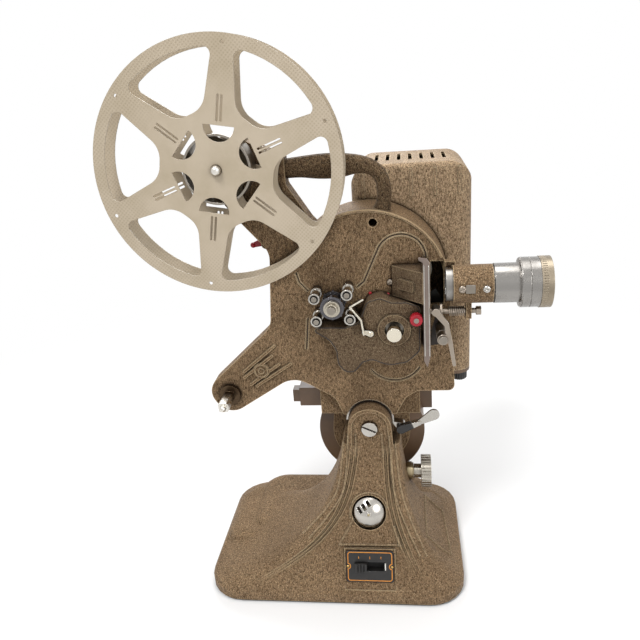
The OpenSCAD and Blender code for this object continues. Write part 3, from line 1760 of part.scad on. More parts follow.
motor_rotor();
rewind_lever();
inlet_block();
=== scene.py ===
# %% [markdown]
# # A cine projector on its pedestal
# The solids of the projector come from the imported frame, already at their real size. This lesson
# gives each of them its finish, adds the small trim that a drawing office leaves to the workshop,
# and sets up a plain studio with the camera at the place that the photograph was taken from.

# %% Load the frame
import math
import bmesh
import bpy
from mathutils import Matrix, Vector


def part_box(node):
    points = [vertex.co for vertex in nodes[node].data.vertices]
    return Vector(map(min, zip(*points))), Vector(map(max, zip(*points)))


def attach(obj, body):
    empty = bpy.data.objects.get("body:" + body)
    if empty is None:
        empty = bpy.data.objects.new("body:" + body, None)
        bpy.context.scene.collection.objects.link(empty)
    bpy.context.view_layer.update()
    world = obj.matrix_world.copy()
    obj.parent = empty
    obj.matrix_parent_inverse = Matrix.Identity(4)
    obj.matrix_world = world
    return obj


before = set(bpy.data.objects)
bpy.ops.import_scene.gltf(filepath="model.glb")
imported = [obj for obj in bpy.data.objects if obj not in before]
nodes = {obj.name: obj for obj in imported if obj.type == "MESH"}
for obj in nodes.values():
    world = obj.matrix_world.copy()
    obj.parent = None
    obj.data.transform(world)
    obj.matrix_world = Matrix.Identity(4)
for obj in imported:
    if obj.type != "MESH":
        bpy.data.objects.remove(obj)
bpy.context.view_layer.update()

# %% [markdown]
# ## Camera
# The place and turn of the camera were worked out from the reel's outline, the edges of the base and
# the axis of the lens. Three turns about the camera's own axes are easier to read than a matrix of
# nine numbers, so the matrix is built from them here.

# %% Camera
CAMERA_AT = Vector((0.0654, -0.5006, 0.4112))
CAMERA_YAW, CAMERA_PITCH, CAMERA_ROLL = (math.radians(a) for a in (7.99, 20.75, 4.28))
CAMERA_LENS = 37.49


def camera_matrix(place, yaw, pitch, roll):
    ahead = Vector((-math.sin(yaw) * math.cos(pitch), math.cos(yaw) * math.cos(pitch), -math.sin(pitch)))
    level = Vector((math.cos(yaw), math.sin(yaw), 0))
    down = ahead.cross(level)
    right = math.cos(roll) * level + math.sin(roll) * down
    up = math.sin(roll) * level - math.cos(roll) * down
    turn = Matrix((right, up, -ahead)).transposed()
    return Matrix.Translation(place) @ turn.to_4x4()


camera_data = bpy.data.cameras.new("camera")
camera_data.lens = CAMERA_LENS
camera_data.sensor_width = 36
camera_data.clip_start = 0.01
camera = bpy.data.objects.new("camera", camera_data)
camera.matrix_world = camera_matrix(CAMERA_AT, CAMERA_YAW, CAMERA_PITCH, CAMERA_ROLL)
bpy.context.scene.collection.objects.link(camera)
bpy.context.scene.camera = camera
print("camera at", tuple(round(v, 3) for v in CAMERA_AT))

# %% [markdown]
# ## Studio
# The photograph has an even, soft light from all round and a white ground. A pale floor and a white
# world, at full strength only for camera, glossy and transmission rays, give the ground. The floor is a
# plain grey near the object, where it keeps the shadow, and fades to white further out.

# %% World and floor
scene = bpy.context.scene
scene.view_settings.view_transform = "Standard"
WORLD_LIGHT, FLOOR_LIGHT = 0.32, 0.6


def white_for_eyes(tree, strength):
    """Strength that is 1 for camera, glossy and transmission rays, and `strength` for light."""
    path = tree.nodes.new("ShaderNodeLightPath")
    seen = None
    for ray in ("Is Camera Ray", "Is Glossy Ray", "Is Transmission Ray"):
        if seen is None:
            seen = path.outputs[ray]
            continue
        top = tree.nodes.new("ShaderNodeMath")
        top.operation = "MAXIMUM"
        tree.links.new(seen, top.inputs[0])
        tree.links.new(path.outputs[ray], top.inputs[1])
        seen = top.outputs[0]
    spread = tree.nodes.new("ShaderNodeMapRange")
    spread.inputs["To Min"].default_value = strength
    spread.inputs["To Max"].default_value = 1
    tree.links.new(seen, spread.inputs["Value"])
    return spread.outputs["Result"]


world = bpy.data.worlds.new("studio")
world.use_nodes = True
scene.world = world
sky = world.node_tree.nodes["Background"]
sky.inputs["Color"].default_value = (1, 1, 1, 1)
world.node_tree.links.new(white_for_eyes(world.node_tree, WORLD_LIGHT), sky.inputs["Strength"])

FLOOR_R, FLOOR_DROP = 3.0, 0.0002
FLOOR_GREY, FLOOR_ROUGH = (0.9, 0.9, 0.9, 1), 0.9
SHADOW_IN, SHADOW_OUT = 0.22, 0.75
floor_work = bmesh.new()
bmesh.ops.create_circle(floor_work, cap_ends=True, segments=96, radius=FLOOR_R)
floor_mesh = bpy.data.meshes.new("floor")
floor_work.to_mesh(floor_mesh)
floor_work.free()
floor = bpy.data.objects.new("floor", floor_mesh)
floor.location.z = -FLOOR_DROP
scene.collection.objects.link(floor)
floor_paint = bpy.data.materials.new("floor")
floor_paint.use_nodes = True
tree = floor_paint.node_tree
floor_shader = tree.nodes["Principled BSDF"]
floor_shader.inputs["Base Color"].default_value = FLOOR_GREY
floor_shader.inputs["Roughness"].default_value = FLOOR_ROUGH
glow = tree.nodes.new("ShaderNodeEmission")
tree.links.new(white_for_eyes(tree, FLOOR_LIGHT), glow.inputs["Strength"])
far = tree.nodes.new("ShaderNodeVectorMath")
far.operation = "LENGTH"
tree.links.new(tree.nodes.new("ShaderNodeTexCoord").outputs["Object"], far.inputs[0])
fade = tree.nodes.new("ShaderNodeMapRange")
fade.interpolation_type = "SMOOTHSTEP"
fade.inputs["From Min"].default_value = SHADOW_IN
fade.inputs["From Max"].default_value = SHADOW_OUT
tree.links.new(far.outputs["Value"], fade.inputs["Value"])
blend = tree.nodes.new("ShaderNodeMixShader")
tree.links.new(fade.outputs["Result"], blend.inputs[0])
tree.links.new(floor_shader.outputs[0], blend.inputs[1])
tree.links.new(glow.outputs[0], blend.inputs[2])
tree.links.new(blend.outputs[0], tree.nodes["Material Output"].inputs["Surface"])
floor.data.materials.append(floor_paint)
print("floor and world ready")

# %% [markdown]
# ### Lamps
# Four large discs light the object at a plain level, so that a colour renders about as it is written. A
# single bare lamp would be simpler, but its hard shadow would hide the trim. Each line gives a lamp's
# place, its width and its power.

# %% Lamps
LAMP_AIM = Vector((0, 0, 0.2))
LAMPS = {
    "key": ((-0.5, -0.9, 1.8), 0.7, 22),
    "fill": ((1.2, -1.2, 0.9), 1.2, 13),
    "top": ((0.2, 0.3, 1.9), 1.2, 14),
    "back": ((-0.3, 1.6, 1.1), 1.2, 12),
}
for name, (place, size, power) in LAMPS.items():
    data = bpy.data.lights.new(name, "AREA")
    data.shape = "DISK"
    data.size = size
    data.energy = power
    lamp_object = bpy.data.objects.new(name, data)
    lamp_object.location = place
    aim = LAMP_AIM - Vector(place)
    lamp_object.rotation_euler = aim.to_track_quat("-Z", "Y").to_euler()
    scene.collection.objects.link(lamp_object)
print(len(LAMPS), "lamps")

# %% [markdown]
# ## Finishes
# Each finish is a small tree of nodes. A helper holds the tree and makes the links short to write.
# Patterns are read from the object's own coordinates in metres, so a grain of a millimetre has a
# scale of about a thousand, and it stays on the part when the part moves.

# %% Helper for finishes
BEVEL_SAMPLES, HOLLOW_SAMPLES = 6, 8


def colour(r, g, b):
    """Colour written as it looks on screen, 0 to 255, turned into light."""
    def light(v):
        v /= 255
        return v / 12.92 if v <= 0.04045 else ((v + 0.055) / 1.055) ** 2.4
    return (light(r), light(g), light(b), 1)


class Finish:
    """A material whose nodes are added one after another."""

    def __init__(self, name, roughness=0.5, metallic=0.0):
        self.material = bpy.data.materials.new(name)
        self.material.use_nodes = True
        self.tree = self.material.node_tree
        self.shader = self.tree.nodes["Principled BSDF"]
        self.shader.inputs["Roughness"].default_value = roughness
        self.shader.inputs["Metallic"].default_value = metallic
        self.place = self.tree.nodes.new("ShaderNodeTexCoord").outputs["Object"]

    def add(self, kind, **inputs):
        """New node; an input is named by its socket, or by i0, i1 and so on for its number."""
        node = self.tree.nodes.new("ShaderNode" + kind)
        for key, value in inputs.items():
            self.set(node, key.replace("_", " "), value)
        return node

    def set(self, node, key, value):
        socket = node.inputs[int(key[1:])] if key[0] == "i" and key[1:].isdigit() else node.inputs[key]
        if isinstance(value, bpy.types.NodeSocket):
            self.tree.links.new(value, socket)
        else:
            socket.default_value = value

    def stretched(self, scale):
        node = self.add("Mapping", Vector=self.place)
        node.inputs["Scale"].default_value = scale
        return node.outputs["Vector"]

    def noise(self, scale, detail=3.0, rough=0.55, at=None):
        node = self.add("TexNoise", Vector=at or self.place, Scale=scale, Detail=detail, Roughness=rough)
        return node.outputs["Fac"]

    def ramp(self, value, *stops):
        node = self.add("ValToRGB", Fac=value)
        while len(node.color_ramp.elements) < len(stops):
            node.color_ramp.elements.new(0.5)
        for element, (at, shade) in zip(node.color_ramp.elements, stops):
            element.position = at
            element.color = shade if isinstance(shade, tuple) else (shade, shade, shade, 1)
        return node.outputs["Color"]

    def mix(self, amount, a, b):
        return self.add("MixRGB", Fac=amount, Color1=a, Color2=b).outputs["Color"]

    def part_mix(self, mask, share, a, b):
        """From a towards b where the mask is 1, by a share of the way."""
        return self.mix(self.maths("MULTIPLY", mask, share), a, b)

    def maths(self, way, a, b=0.0):
        node = self.add("Math", i0=a, i1=b)
        node.operation = way
        return node.outputs[0]

    def bevel(self, radius):
        node = self.add("Bevel", Radius=radius)
        node.samples = BEVEL_SAMPLES
        return node.outputs["Normal"]

    def edges(self, radius):
        """1 on edges, where wear and painted highlight go, 0 on open faces."""
        node = self.add("VectorMath", i0=self.bevel(radius), i1=self.add("NewGeometry").outputs["Normal"])
        node.operation = "DOT_PRODUCT"
        return self.ramp(node.outputs["Value"], (0.72, 1.0), (0.97, 0.0))

    def hollow(self, reach, full=0.35, none=0.9):
        """1 in corners and seams, 0 in the open."""
        node = self.add("AmbientOcclusion", Distance=reach)
        node.samples = HOLLOW_SAMPLES
        return self.ramp(node.outputs["AO"], (full, 1.0), (none, 0.0))

    def paint(self, shade):
        self.set(self.shader, "Base Color", shade)

    def gloss(self, value):
        self.set(self.shader, "Roughness", value)

    def relief(self, height, strength, depth, soft=None):
        node = self.add("Bump", Height=height, Strength=strength, Distance=depth)
        if soft is not None:
            self.set(node, "Normal", soft)
        self.set(self.shader, "Normal", node.outputs["Normal"])


print("finish helper ready")

# %% [markdown]
# ### Crackle enamel
# The castings have a stoved bronze enamel that shrank as it dried into a fine net of ridges. A picture of
# such a paint would blur close up, so patterns make it: a cell pattern for the net, noise that is drawn
# out upwards for the wrinkles, and slow noise that shifts the tone. Edges are golden, for wear and a
# painted highlight, and corners are darker, for grime and painted shade. The handle and the movement cover
# have their own tones of it. The lamphouse and the raised ridges take lighter copies of it, painted light.

# %% Crackle enamel


def crackle(name, base, dark, gold, cell=0.0011, shine=0.46):
    f = Finish(name)
    push = f.add("TexNoise", Vector=f.place, Scale=1 / (2.2 * cell), Detail=2.0)
    moved = f.add("MixRGB", Fac=0.9 * cell, Color1=f.place, Color2=push.outputs["Color"])
    moved.blend_type = "ADD"
    cells = f.add("TexVoronoi", Vector=moved.outputs["Color"], Scale=1 / cell)
    cells.feature = "DISTANCE_TO_EDGE"
    net = f.ramp(cells.outputs["Distance"], (0.03, 0.0), (0.2, 1.0))
    grain = f.noise(1 / (0.6 * cell), 3.0, 0.7)
    fine, tall = 1 / (0.9 * cell), 1 / (2.2 * cell)
    wrinkle = f.noise(1.0, 4.0, 0.6, f.stretched((fine, fine, tall)))
    body = f.mix(f.ramp(wrinkle, (0.36, 0.0), (0.6, 1.0)), dark, base)
    body = f.part_mix(f.ramp(grain, (0.5, 0.0), (0.68, 1.0)), 0.75, body, gold)
    body = f.part_mix(f.ramp(net, (0.0, 1.0), (0.8, 0.0)), 0.55, body, dark)
    tone = f.ramp(f.noise(18, 5.0, 0.6), (0.35, 0.0), (0.7, 1.0))
    body = f.part_mix(tone, 0.3, body, dark)
    # Darker in corners and seams: grime and painted shade.
    shade_and_grime = tuple(0.35 * v for v in dark[:3]) + (1,)
    body = f.part_mix(f.hollow(0.007), 0.9, body, shade_and_grime)
    body = f.mix(f.hollow(0.0026, 0.56, 0.84), body, shade_and_grime)
    # Golden edges: wear and a painted highlight.
    f.paint(f.part_mix(f.edges(0.0015), 0.8, body, gold))
    f.gloss(f.ramp(grain, (0.3, shine + 0.16), (0.7, shine - 0.08)))
    f.relief(f.mix(0.5, net, wrinkle), 0.9, 0.0008, f.bevel(0.0004))
    f.shader.inputs["Specular IOR Level"].default_value = 0.05
    f.shader.inputs["Metallic"].default_value = 0.3
    return f.material


ENAMEL = crackle("crackle_enamel", colour(174, 144, 110), colour(68, 50, 36), colour(234, 207, 166))
# A lighter copy of the enamel for raised beads, ribs and rims: a painted highlight.
HIGHLIGHT_ENAMEL = crackle("painted_highlight_enamel", colour(192, 166, 130), colour(92, 73, 54), colour(238, 216, 178))
HANDLE = crackle("handle_enamel", colour(126, 102, 77), colour(36, 27, 20), colour(196, 170, 132))
# The lamphouse takes a lighter copy of the enamel: painted light, for light that the lamps don't give it
# behind the body.
LAMPHOUSE_LIT = crackle("lamphouse_painted_light", colour(212, 182, 146), colour(92, 72, 54), colour(244, 222, 184))
COVER = crackle("cover_enamel", colour(134, 113, 89), colour(68, 53, 41), colour(196, 174, 140), shine=0.36)
print("crackle enamel mixed")

# %% [markdown]
# ### Smooth brown enamel
# The motor and the lamphouse floor are sprayed with a plain brown enamel. It shows only a little
# orange peel, and it is darker in the corners and lighter along the edges.

# %% Smooth enamel


def sprayed(name, base, dark, shine=0.38, peel=0.0011):
    f = Finish(name)
    slow = f.ramp(f.noise(28, 4.0, 0.6), (0.3, 0.0), (0.75, 1.0))
    body = f.mix(slow, base, dark)
    body = f.part_mix(f.hollow(0.006), 0.5, body, dark)
    pale = tuple(min(1, 1.7 * v) for v in base[:3]) + (1,)
    f.paint(f.part_mix(f.edges(0.0008), 0.45, body, pale))
    f.gloss(f.ramp(f.noise(90, 3.0), (0.3, shine - 0.06), (0.8, shine + 0.14)))
    f.relief(f.noise(1 / peel, 2.0), 0.18, 0.00012, f.bevel(0.0007))
    return f.material


BROWN = sprayed("brown_enamel", colour(114, 89, 66), colour(82, 62, 46))
print("brown enamel mixed")

# %% [markdown]
# ### Reel enamel
# The reel is tan stoving enamel over steel sheet that was rolled with a fine crossed hatch. Two waves
# at right angles give the hatch. It is pressed flat near the hub, so it fades towards the middle.

# %% Reel enamel
REEL_AT = Vector((-0.064, -0.032, 0.349))
HATCH = 0.002


def reel_enamel():
    f = Finish("reel_enamel")
    lines = []
    for turn in (45, -45):
        lay = f.add("Mapping", Vector=f.place)
        lay.inputs["Rotation"].default_value = (0, math.radians(turn), 0)
        wave = f.add("TexWave", Vector=lay.outputs["Vector"], Scale=2 * math.pi / HATCH / 20)
        lines.append(wave.outputs["Fac"])
    hatch = f.maths("MULTIPLY", *lines)
    away = f.add("VectorMath", i0=f.place, i1=REEL_AT)
    away.operation = "DISTANCE"
    outer = f.ramp(f.maths("MULTIPLY", away.outputs["Value"], 10), (0.5, 0.0), (0.72, 1.0))
    shown = f.maths("MULTIPLY", hatch, outer)
    slow = f.ramp(f.noise(40, 4.0, 0.6), (0.35, 0.0), (0.7, 1.0))
    body = f.mix(slow, colour(188, 174, 153), colour(175, 161, 138))
    body = f.part_mix(shown, 0.45, body, colour(138, 122, 98))
    body = f.part_mix(f.hollow(0.004), 0.5, body, colour(120, 105, 82))
    rust = f.ramp(f.noise(140, 5.0, 0.7), (0.7, 0.0), (0.78, 1.0))
    f.paint(f.part_mix(rust, 0.55, body, colour(120, 92, 60)))
    f.gloss(f.ramp(f.noise(120, 3.0), (0.3, 0.36), (0.8, 0.5)))
    f.relief(shown, 0.4, 0.00015, f.bevel(0.0004))
    return f.material


TAN = reel_enamel()
print("reel enamel mixed")

# %% [markdown]
# ### Metals
# Nickel plate, ground steel, turned bronze and silvered glass differ in colour, in how sharp their
# reflections are and in the direction of their fine scratches. One function serves them all: the
# scratch noise is stretched along one axis, and tarnish gathers in the hollows.

# %% Metals


def metal(name, base, tarnish, shine, scratch=(600, 600, 600), wear=0.35, depth=0.00003):
    f = Finish(name, metallic=1.0)
    lines = f.noise(1.0, 3.0, 0.6, f.stretched(scratch))
    dull = f.ramp(f.noise(60, 4.0, 0.65), (0.45, 0.0), (0.75, 1.0))
    body = f.part_mix(dull, wear, base, tarnish)
    body = f.part_mix(f.hollow(0.003), 0.75, body, tarnish)
    # Brighter edges: a painted highlight, with some wear.
    bright = tuple(min(1, 1.6 * v + 0.05) for v in base[:3]) + (1,)
    f.paint(f.part_mix(f.edges(0.0008), 0.7, body, bright))
    f.gloss(f.ramp(f.mix(0.5, lines, dull), (0.25, shine), (0.8, shine + 0.2)))
    f.relief(lines, 0.25, depth, f.bevel(0.0004))
    return f.material


NICKEL = metal("polished_nickel", colour(184, 180, 173), colour(104, 95, 84), 0.16)
LENS_STEEL = metal("lens_nickel", colour(146, 143, 139), colour(84, 78, 71), 0.22)
STEEL = metal("ground_steel", colour(146, 139, 129), colour(78, 69, 60), 0.3, (300, 300, 3000))
DULL = metal("oiled_steel", colour(158, 147, 134), colour(84, 74, 64), 0.28, wear=0.5)
LIP_STEEL = metal("blued_steel", colour(134, 121, 113), colour(74, 62, 56), 0.28, (200, 200, 2400))
BRONZE = metal("turned_bronze", colour(200, 164, 98), colour(110, 82, 46), 0.24, (3000, 300, 300))
SILVERED = metal("silvered", colour(236, 238, 238), colour(190, 190, 188), 0.04, wear=0.1, depth=0.00001)


def spindle_steel(name, tip_from, tip_to):
    """Dark oiled steel that is rubbed bright towards the front end."""
    f = Finish(name, metallic=1.0)
    depth = f.add("SeparateXYZ", Vector=f.place).outputs["Y"]
    bright = f.add("MapRange", Value=depth)
    for key, value in (("From Min", tip_from), ("From Max", tip_to), ("To Min", 1.0), ("To Max", 0.0)):
        bright.inputs[key].default_value = value
    worn = f.noise(300, 4.0, 0.6)
    dark = f.mix(worn, colour(92, 76, 58), colour(60, 48, 38))
    f.paint(f.mix(bright.outputs["Result"], dark, colour(214, 210, 202)))
    f.gloss(f.ramp(worn, (0.3, 0.16), (0.7, 0.42)))
    f.relief(worn, 0.2, 0.00003, f.bevel(0.0004))
    return f.material


SPINDLE = spindle_steel("feed_steel", -0.046, -0.042)
TAKEUP = spindle_steel("takeup_steel", -0.036, -0.026)


def lock_finish(hub, reach):
    """Nickel lever whose hub, within reach of its pin, is blacked."""
    f = Finish("lock_lever")
    away = f.add("VectorMath", i0=f.place, i1=hub)
    away.operation = "DISTANCE"
    far = f.add("MapRange", Value=away.outputs["Value"])
    far.inputs["From Min"].default_value = 0.96 * reach
    far.inputs["From Max"].default_value = 1.04 * reach
    worn = f.noise(200, 4.0, 0.6)
    black = f.mix(worn, colour(20, 19, 18), colour(34, 31, 29))
    f.paint(f.mix(far.outputs["Result"], black, colour(176, 172, 165)))
    f.set(f.shader, "Metallic", far.outputs["Result"])
    f.gloss(f.ramp(worn, (0.3, 0.16), (0.7, 0.34)))
    f.relief(worn, 0.2, 0.00003, f.bevel(0.0005))
    return f.material


LOCK_PIN, LOCK_HUB_R = Vector((0.058, -0.0225, 0.1305)), 0.0105
LOCK = lock_finish(LOCK_PIN, LOCK_HUB_R)


def sprocket_steel(axis_x, axis_z, nose_r):
    """Blued steel sprocket whose turned nose is bright."""
    f = Finish("sprocket_steel", metallic=1.0)
    parts = f.add("SeparateXYZ", Vector=f.place)
    across = f.maths("SUBTRACT", parts.outputs["X"], axis_x)
    above = f.maths("SUBTRACT", parts.outputs["Z"], axis_z)
    squares = (f.maths("MULTIPLY", v, v) for v in (across, above))
    radius = f.maths("SQRT", f.maths("ADD", *squares))
    outer = f.add("MapRange", Value=radius)
    outer.inputs["From Min"].default_value = 0.96 * nose_r
    outer.inputs["From Max"].default_value = 1.04 * nose_r
    rings = f.add("TexWave", Vector=f.place, Scale=160.0, Distortion=0.4)
    rings.wave_type = "RINGS"
    body = f.mix(outer.outputs["Result"], colour(196, 188, 172), colour(96, 95, 99))
    f.paint(f.part_mix(f.hollow(0.003), 0.8, body, colour(52, 46, 42)))
    f.gloss(f.ramp(rings.outputs["Fac"], (0.2, 0.16), (0.8, 0.32)))
    f.relief(rings.outputs["Fac"], 0.15, 0.00003, f.bevel(0.0004))
    return f.material


SPROCKET_NOSE_R = 0.0062
sprocket_low, sprocket_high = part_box("sprocket")
sprocket_mid = (sprocket_low + sprocket_high) / 2
SPROCKET = sprocket_steel(sprocket_mid.x, sprocket_mid.z, SPROCKET_NOSE_R)
TAN_BRASS = metal("worn_front_ring", colour(146, 135, 118), colour(88, 77, 62), 0.34, (200, 2400, 2400))
OLD_BRASS = metal("old_brass", colour(170, 156, 126), colour(98, 84, 58), 0.28, (3000, 300, 300))
KNOB_END = metal("bright_knob", colour(222, 214, 196), colour(150, 138, 118), 0.22, wear=0.5)
KNURLED = metal("worn_nickel", colour(172, 166, 155), colour(92, 84, 73), 0.24)
print("metals mixed")

# %% [markdown]
# ### Mouldings, felt and belts
# Small parts are phenolic mouldings in black and red, white insulators, felt under the foot and
# woven belts, and printed lines and the dark lines of painted shade and dirt look much like them. One
# function gives each its own grain.

# %% Mouldings


def moulded(name, base, second, shine, grain=0.0006, depth=0.00008):
    f = Finish(name)
    cloud = f.ramp(f.noise(1 / (8 * grain), 4.0, 0.6), (0.35, 0.0), (0.7, 1.0))
    body = f.mix(cloud, base, second)
    pale = tuple(min(1, 1.5 * v + 0.02) for v in base[:3]) + (1,)
    f.paint(f.part_mix(f.edges(0.0006), 0.4, body, pale))
    f.gloss(f.ramp(f.noise(1 / (4 * grain), 3.0), (0.3, shine), (0.75, shine + 0.18)))
    f.relief(f.noise(1 / grain, 3.0), 0.25, depth, f.bevel(0.0005))
    return f.material


BLACK = moulded("black_phenolic", colour(24, 23, 22), colour(36, 33, 31), 0.28)
RED = moulded("red_phenolic", colour(176, 22, 40), colour(140, 12, 28), 0.22)
IVORY = moulded("white_insulator", colour(214, 203, 180), colour(190, 176, 150), 0.4)
FELT = moulded("black_felt", colour(42, 38, 34), colour(28, 25, 22), 0.85, 0.0004, 0.0003)
RUBBER = moulded("woven_belt", colour(52, 46, 40), colour(34, 30, 27), 0.7, 0.0008, 0.0003)
ORANGE = moulded("orange_line", colour(214, 140, 44), colour(188, 116, 34), 0.4)
# Dark lines and a sheet for the shade in cuts, slots and the gate's well, a painted shade, and for the cover's
# rim, painted shade with some dirt.
DIRT_AND_SHADE = moulded("painted_shade_and_dirt", colour(44, 34, 26), colour(30, 23, 18), 0.55)
WHITE = moulded("white_line", colour(232, 230, 222), colour(208, 204, 194), 0.4)
print("mouldings mixed")

# %% [markdown]
# ### Glass
# The lenses and the lamp are clear. A glass shader alone would have one flat colour, so slow noise shifts
# the tint of the coating a little.

# %% Glass


def glass(name, tint, roughness):
    f = Finish(name, roughness)
    f.shader.inputs["Transmission Weight"].default_value = 1.0
    f.shader.inputs["IOR"].default_value = 1.5
    f.shader.inputs["Coat Weight"].default_value = 0.25
    f.paint(f.mix(f.ramp(f.noise(50, 3.0), (0.3, 0.0), (0.8, 1.0)), tint, (1, 1, 1, 1)))
    f.relief(f.noise(400, 2.0), 0.02, 0.00001)
    return f.material


LENS_GLASS = glass("coated_glass", colour(206, 222, 232), 0.02)
LAMP_GLASS = glass("lamp_glass", colour(240, 240, 236), 0.05)
print("glass mixed")

# %% [markdown]
# ## Finishes on the solids
# Each solid of the frame takes one finish. The list is by finish, because that is how a workshop
# would sort the parts for plating and spraying.

# %% Dress the solids
DRESS = [
    (ENAMEL, "base_casting main_casting rear_cover lens_mount"),
    (LAMPHOUSE_LIT, "lamphouse_cover"),
    (HANDLE, "carry_handle"),
    (COVER, "mechanism_cover gate_casting"),
    (BROWN, "motor_body motor_cap lamphouse_floor inlet_block"),
    (TAN, "reel_flanges"),
    (NICKEL, "pilot_shade tilt_pivot_screw tilt_band roller_1 roller_2 roller_3 roller_4"),
    (LENS_STEEL, "lens_barrel"),
    (KNOB_END, "inching_knob film_stripper"),
    (SPROCKET, "sprocket"),
    (KNURLED, "tilt_knob"),
    (TAN_BRASS, "lens_front_ring"),
    (SPINDLE, "feed_spindle"),
    (TAKEUP, "takeup_spindle"),
    (LOCK, "tilt_lock_lever"),
    (STEEL, "base_plate tilt_worm tilt_sector condenser_barrel film_studs main_shaft reel_core"
            " motor_rotor sprocket_gear"),
    (DULL, "pressure_plate gate_lever gate_spring"),
    (LIP_STEEL, "gate_channel"),
    (BRONZE, "shaft_bushes"),
    (OLD_BRASS, "tilt_bush"),
    (SILVERED, "reflector gate_mirror"),
    (BLACK, "switch_plate switch_body switch_slider shutter"),
    (RED, "red_wheel rewind_lever"),
    (IVORY, "pilot_lamp lamp_socket"),
    (FELT, "base_pad"),
    (RUBBER, "takeup_belt drive_belt"),
    (LENS_GLASS, "lens_elements condenser_lenses"),
    (LAMP_GLASS, "lamp"),
]
dressed = set()
for finish, names in DRESS:
    for name in names.split():
        nodes[name].data.materials.clear()
        nodes[name].data.materials.append(finish)
        dressed.add(name)
print("dressed", len(dressed), "left", sorted(set(nodes) - dressed))

# %% [markdown]
# ## Trim
# Small pieces that a drawing leaves to the fitter are made here: turned heads and rings, beads that
# lie on a casting, and thin inlays. They could be modelled by hand, but each of them follows from a
# profile or a path, so a few helpers make them all. Every piece is a closed mesh, sits on what
# carries it and rides on that body.

# %% Helpers for trim
from mathutils.bvhtree import BVHTree

FRONT = Vector((0, -1, 0))
SINK = 0.0003
SHARP_FROM = math.radians(35)
RAY_BACK = 0.1
RIDGE_SIDES = 6


def piece(name, verts, faces, finish, body):
    """Closed mesh with a finish that rides on a body."""
    mesh = bpy.data.meshes.new(name)
    mesh.from_pydata([tuple(v) for v in verts], [], faces)
    work = bmesh.new()
    work.from_mesh(mesh)
    bmesh.ops.recalc_face_normals(work, faces=work.faces)
    work.to_mesh(mesh)
    work.free()
    mesh.polygons.foreach_set("use_smooth", [True] * len(mesh.polygons))
    mesh.set_sharp_from_angle(angle=SHARP_FROM)
    mesh.materials.append(finish)
    thing = bpy.data.objects.new(name, mesh)
    scene.collection.objects.link(thing)
    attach(thing, body)
    return thing


def spread_of(way):
    """Two directions square to `way` and to each other."""
    side = way.cross(Vector((0, 0, 1)) if abs(way.z) < 0.9 else Vector((1, 0, 0))).normalized()
    return side, way.cross(side).normalized()


def turned(name, at, way, profile, finish, body, steps=40):
    """Body of revolution about `way` from points of radius and height."""
    way = Vector(way).normalized()
    a, b = spread_of(way)
    verts, rings = [], []
    for radius, height in profile:
        count = steps if radius > 1e-7 else 1
        rings.append([len(verts) + k for k in range(count)])
        for k in range(count):
            t = 2 * math.pi * k / steps
            verts.append(Vector(at) + way * height + (a * math.cos(t) + b * math.sin(t)) * radius)
    faces = []
    for low, high in zip(rings, rings[1:]):
        for k in range(steps):
            quad = [low[k % len(low)], low[(k + 1) % len(low)],
                    high[(k + 1) % len(high)], high[k % len(high)]]
            faces.append(list(dict.fromkeys(quad)))
    return piece(name, verts, faces, finish, body)


def take_out(thing, verts, faces):
    """Cut a closed tool shape out of a piece."""
    mesh = bpy.data.meshes.new("tool")
    mesh.from_pydata([tuple(v) for v in verts], [], faces)
    tool = bpy.data.objects.new("tool", mesh)
    scene.collection.objects.link(tool)
    cut = thing.modifiers.new("cut", "BOOLEAN")
    cut.object = tool
    cut.solver = "EXACT"
    bpy.context.view_layer.update()
    shaped = thing.evaluated_get(bpy.context.evaluated_depsgraph_get())
    result = bpy.data.meshes.new_from_object(shaped)
    thing.modifiers.clear()
    thing.data = result
    bpy.data.objects.remove(tool)
    bpy.data.meshes.remove(mesh)


BOX_FACES = [(0, 1, 3, 2), (4, 6, 7, 5), (0, 4, 5, 1), (2, 3, 7, 6), (0, 2, 6, 4), (1, 5, 7, 3)]


def slotted_screw(name, at, way, radius, proud, turn, finish, body):
    """Screw head with a soft edge and a cut slot, `turn` degrees round."""
    profile = [(0, proud), (0.55 * radius, 0.97 * proud), (0.85 * radius, 0.75 * proud),
               (radius, 0.3 * proud), (radius, -SINK), (0, -SINK)]
    head = turned(name, at, way, profile, finish, body)
    way = Vector(way).normalized()
    a, b = spread_of(way)
    t = math.radians(turn)
    along, across = a * math.cos(t) + b * math.sin(t), b * math.cos(t) - a * math.sin(t)
    verts = [Vector(at) + along * i * 1.2 * radius + across * j * 0.13 * radius + way * h
             for i in (-1, 1) for j in (-1, 1) for h in (0.45 * proud, 1.5 * proud)]
    take_out(head, verts, BOX_FACES)
    return head


skins = {}


def skin(node):
    """Surface of a node for rays, built once."""
    if node not in skins:
        mesh = nodes[node].data
        faces = [tuple(p.vertices) for p in mesh.polygons]
        skins[node] = BVHTree.FromPolygons([v.co for v in mesh.vertices], faces)
    return skins[node]


def along(path, step, closed):
    """Points every `step` along straight stretches of a path."""
    path = [Vector(p) for p in path]
    ends = path[1:] + path[:1] if closed else path[1:]
    out = []
    for start, end in zip(path, ends):
        count = max(1, round((end - start).length / step))
        out += [start.lerp(end, k / count) for k in range(count)]
    return out if closed else out + [path[-1]]


def bead(name, path, cast, node, half, proud, finish, body, closed=False, step=0.0012):
    """Rounded ridge laid on a node where rays along `cast` meet it."""
    cast = Vector(cast).normalized()
    tree = skin(node)
    spots = []
    for p in along(path, step, closed):
        hit, normal, _, _ = tree.ray_cast(p - cast * RAY_BACK, cast)
        if hit is not None:
            spots.append((hit, normal))
    return ridge(name, spots, half, proud, finish, body, closed)


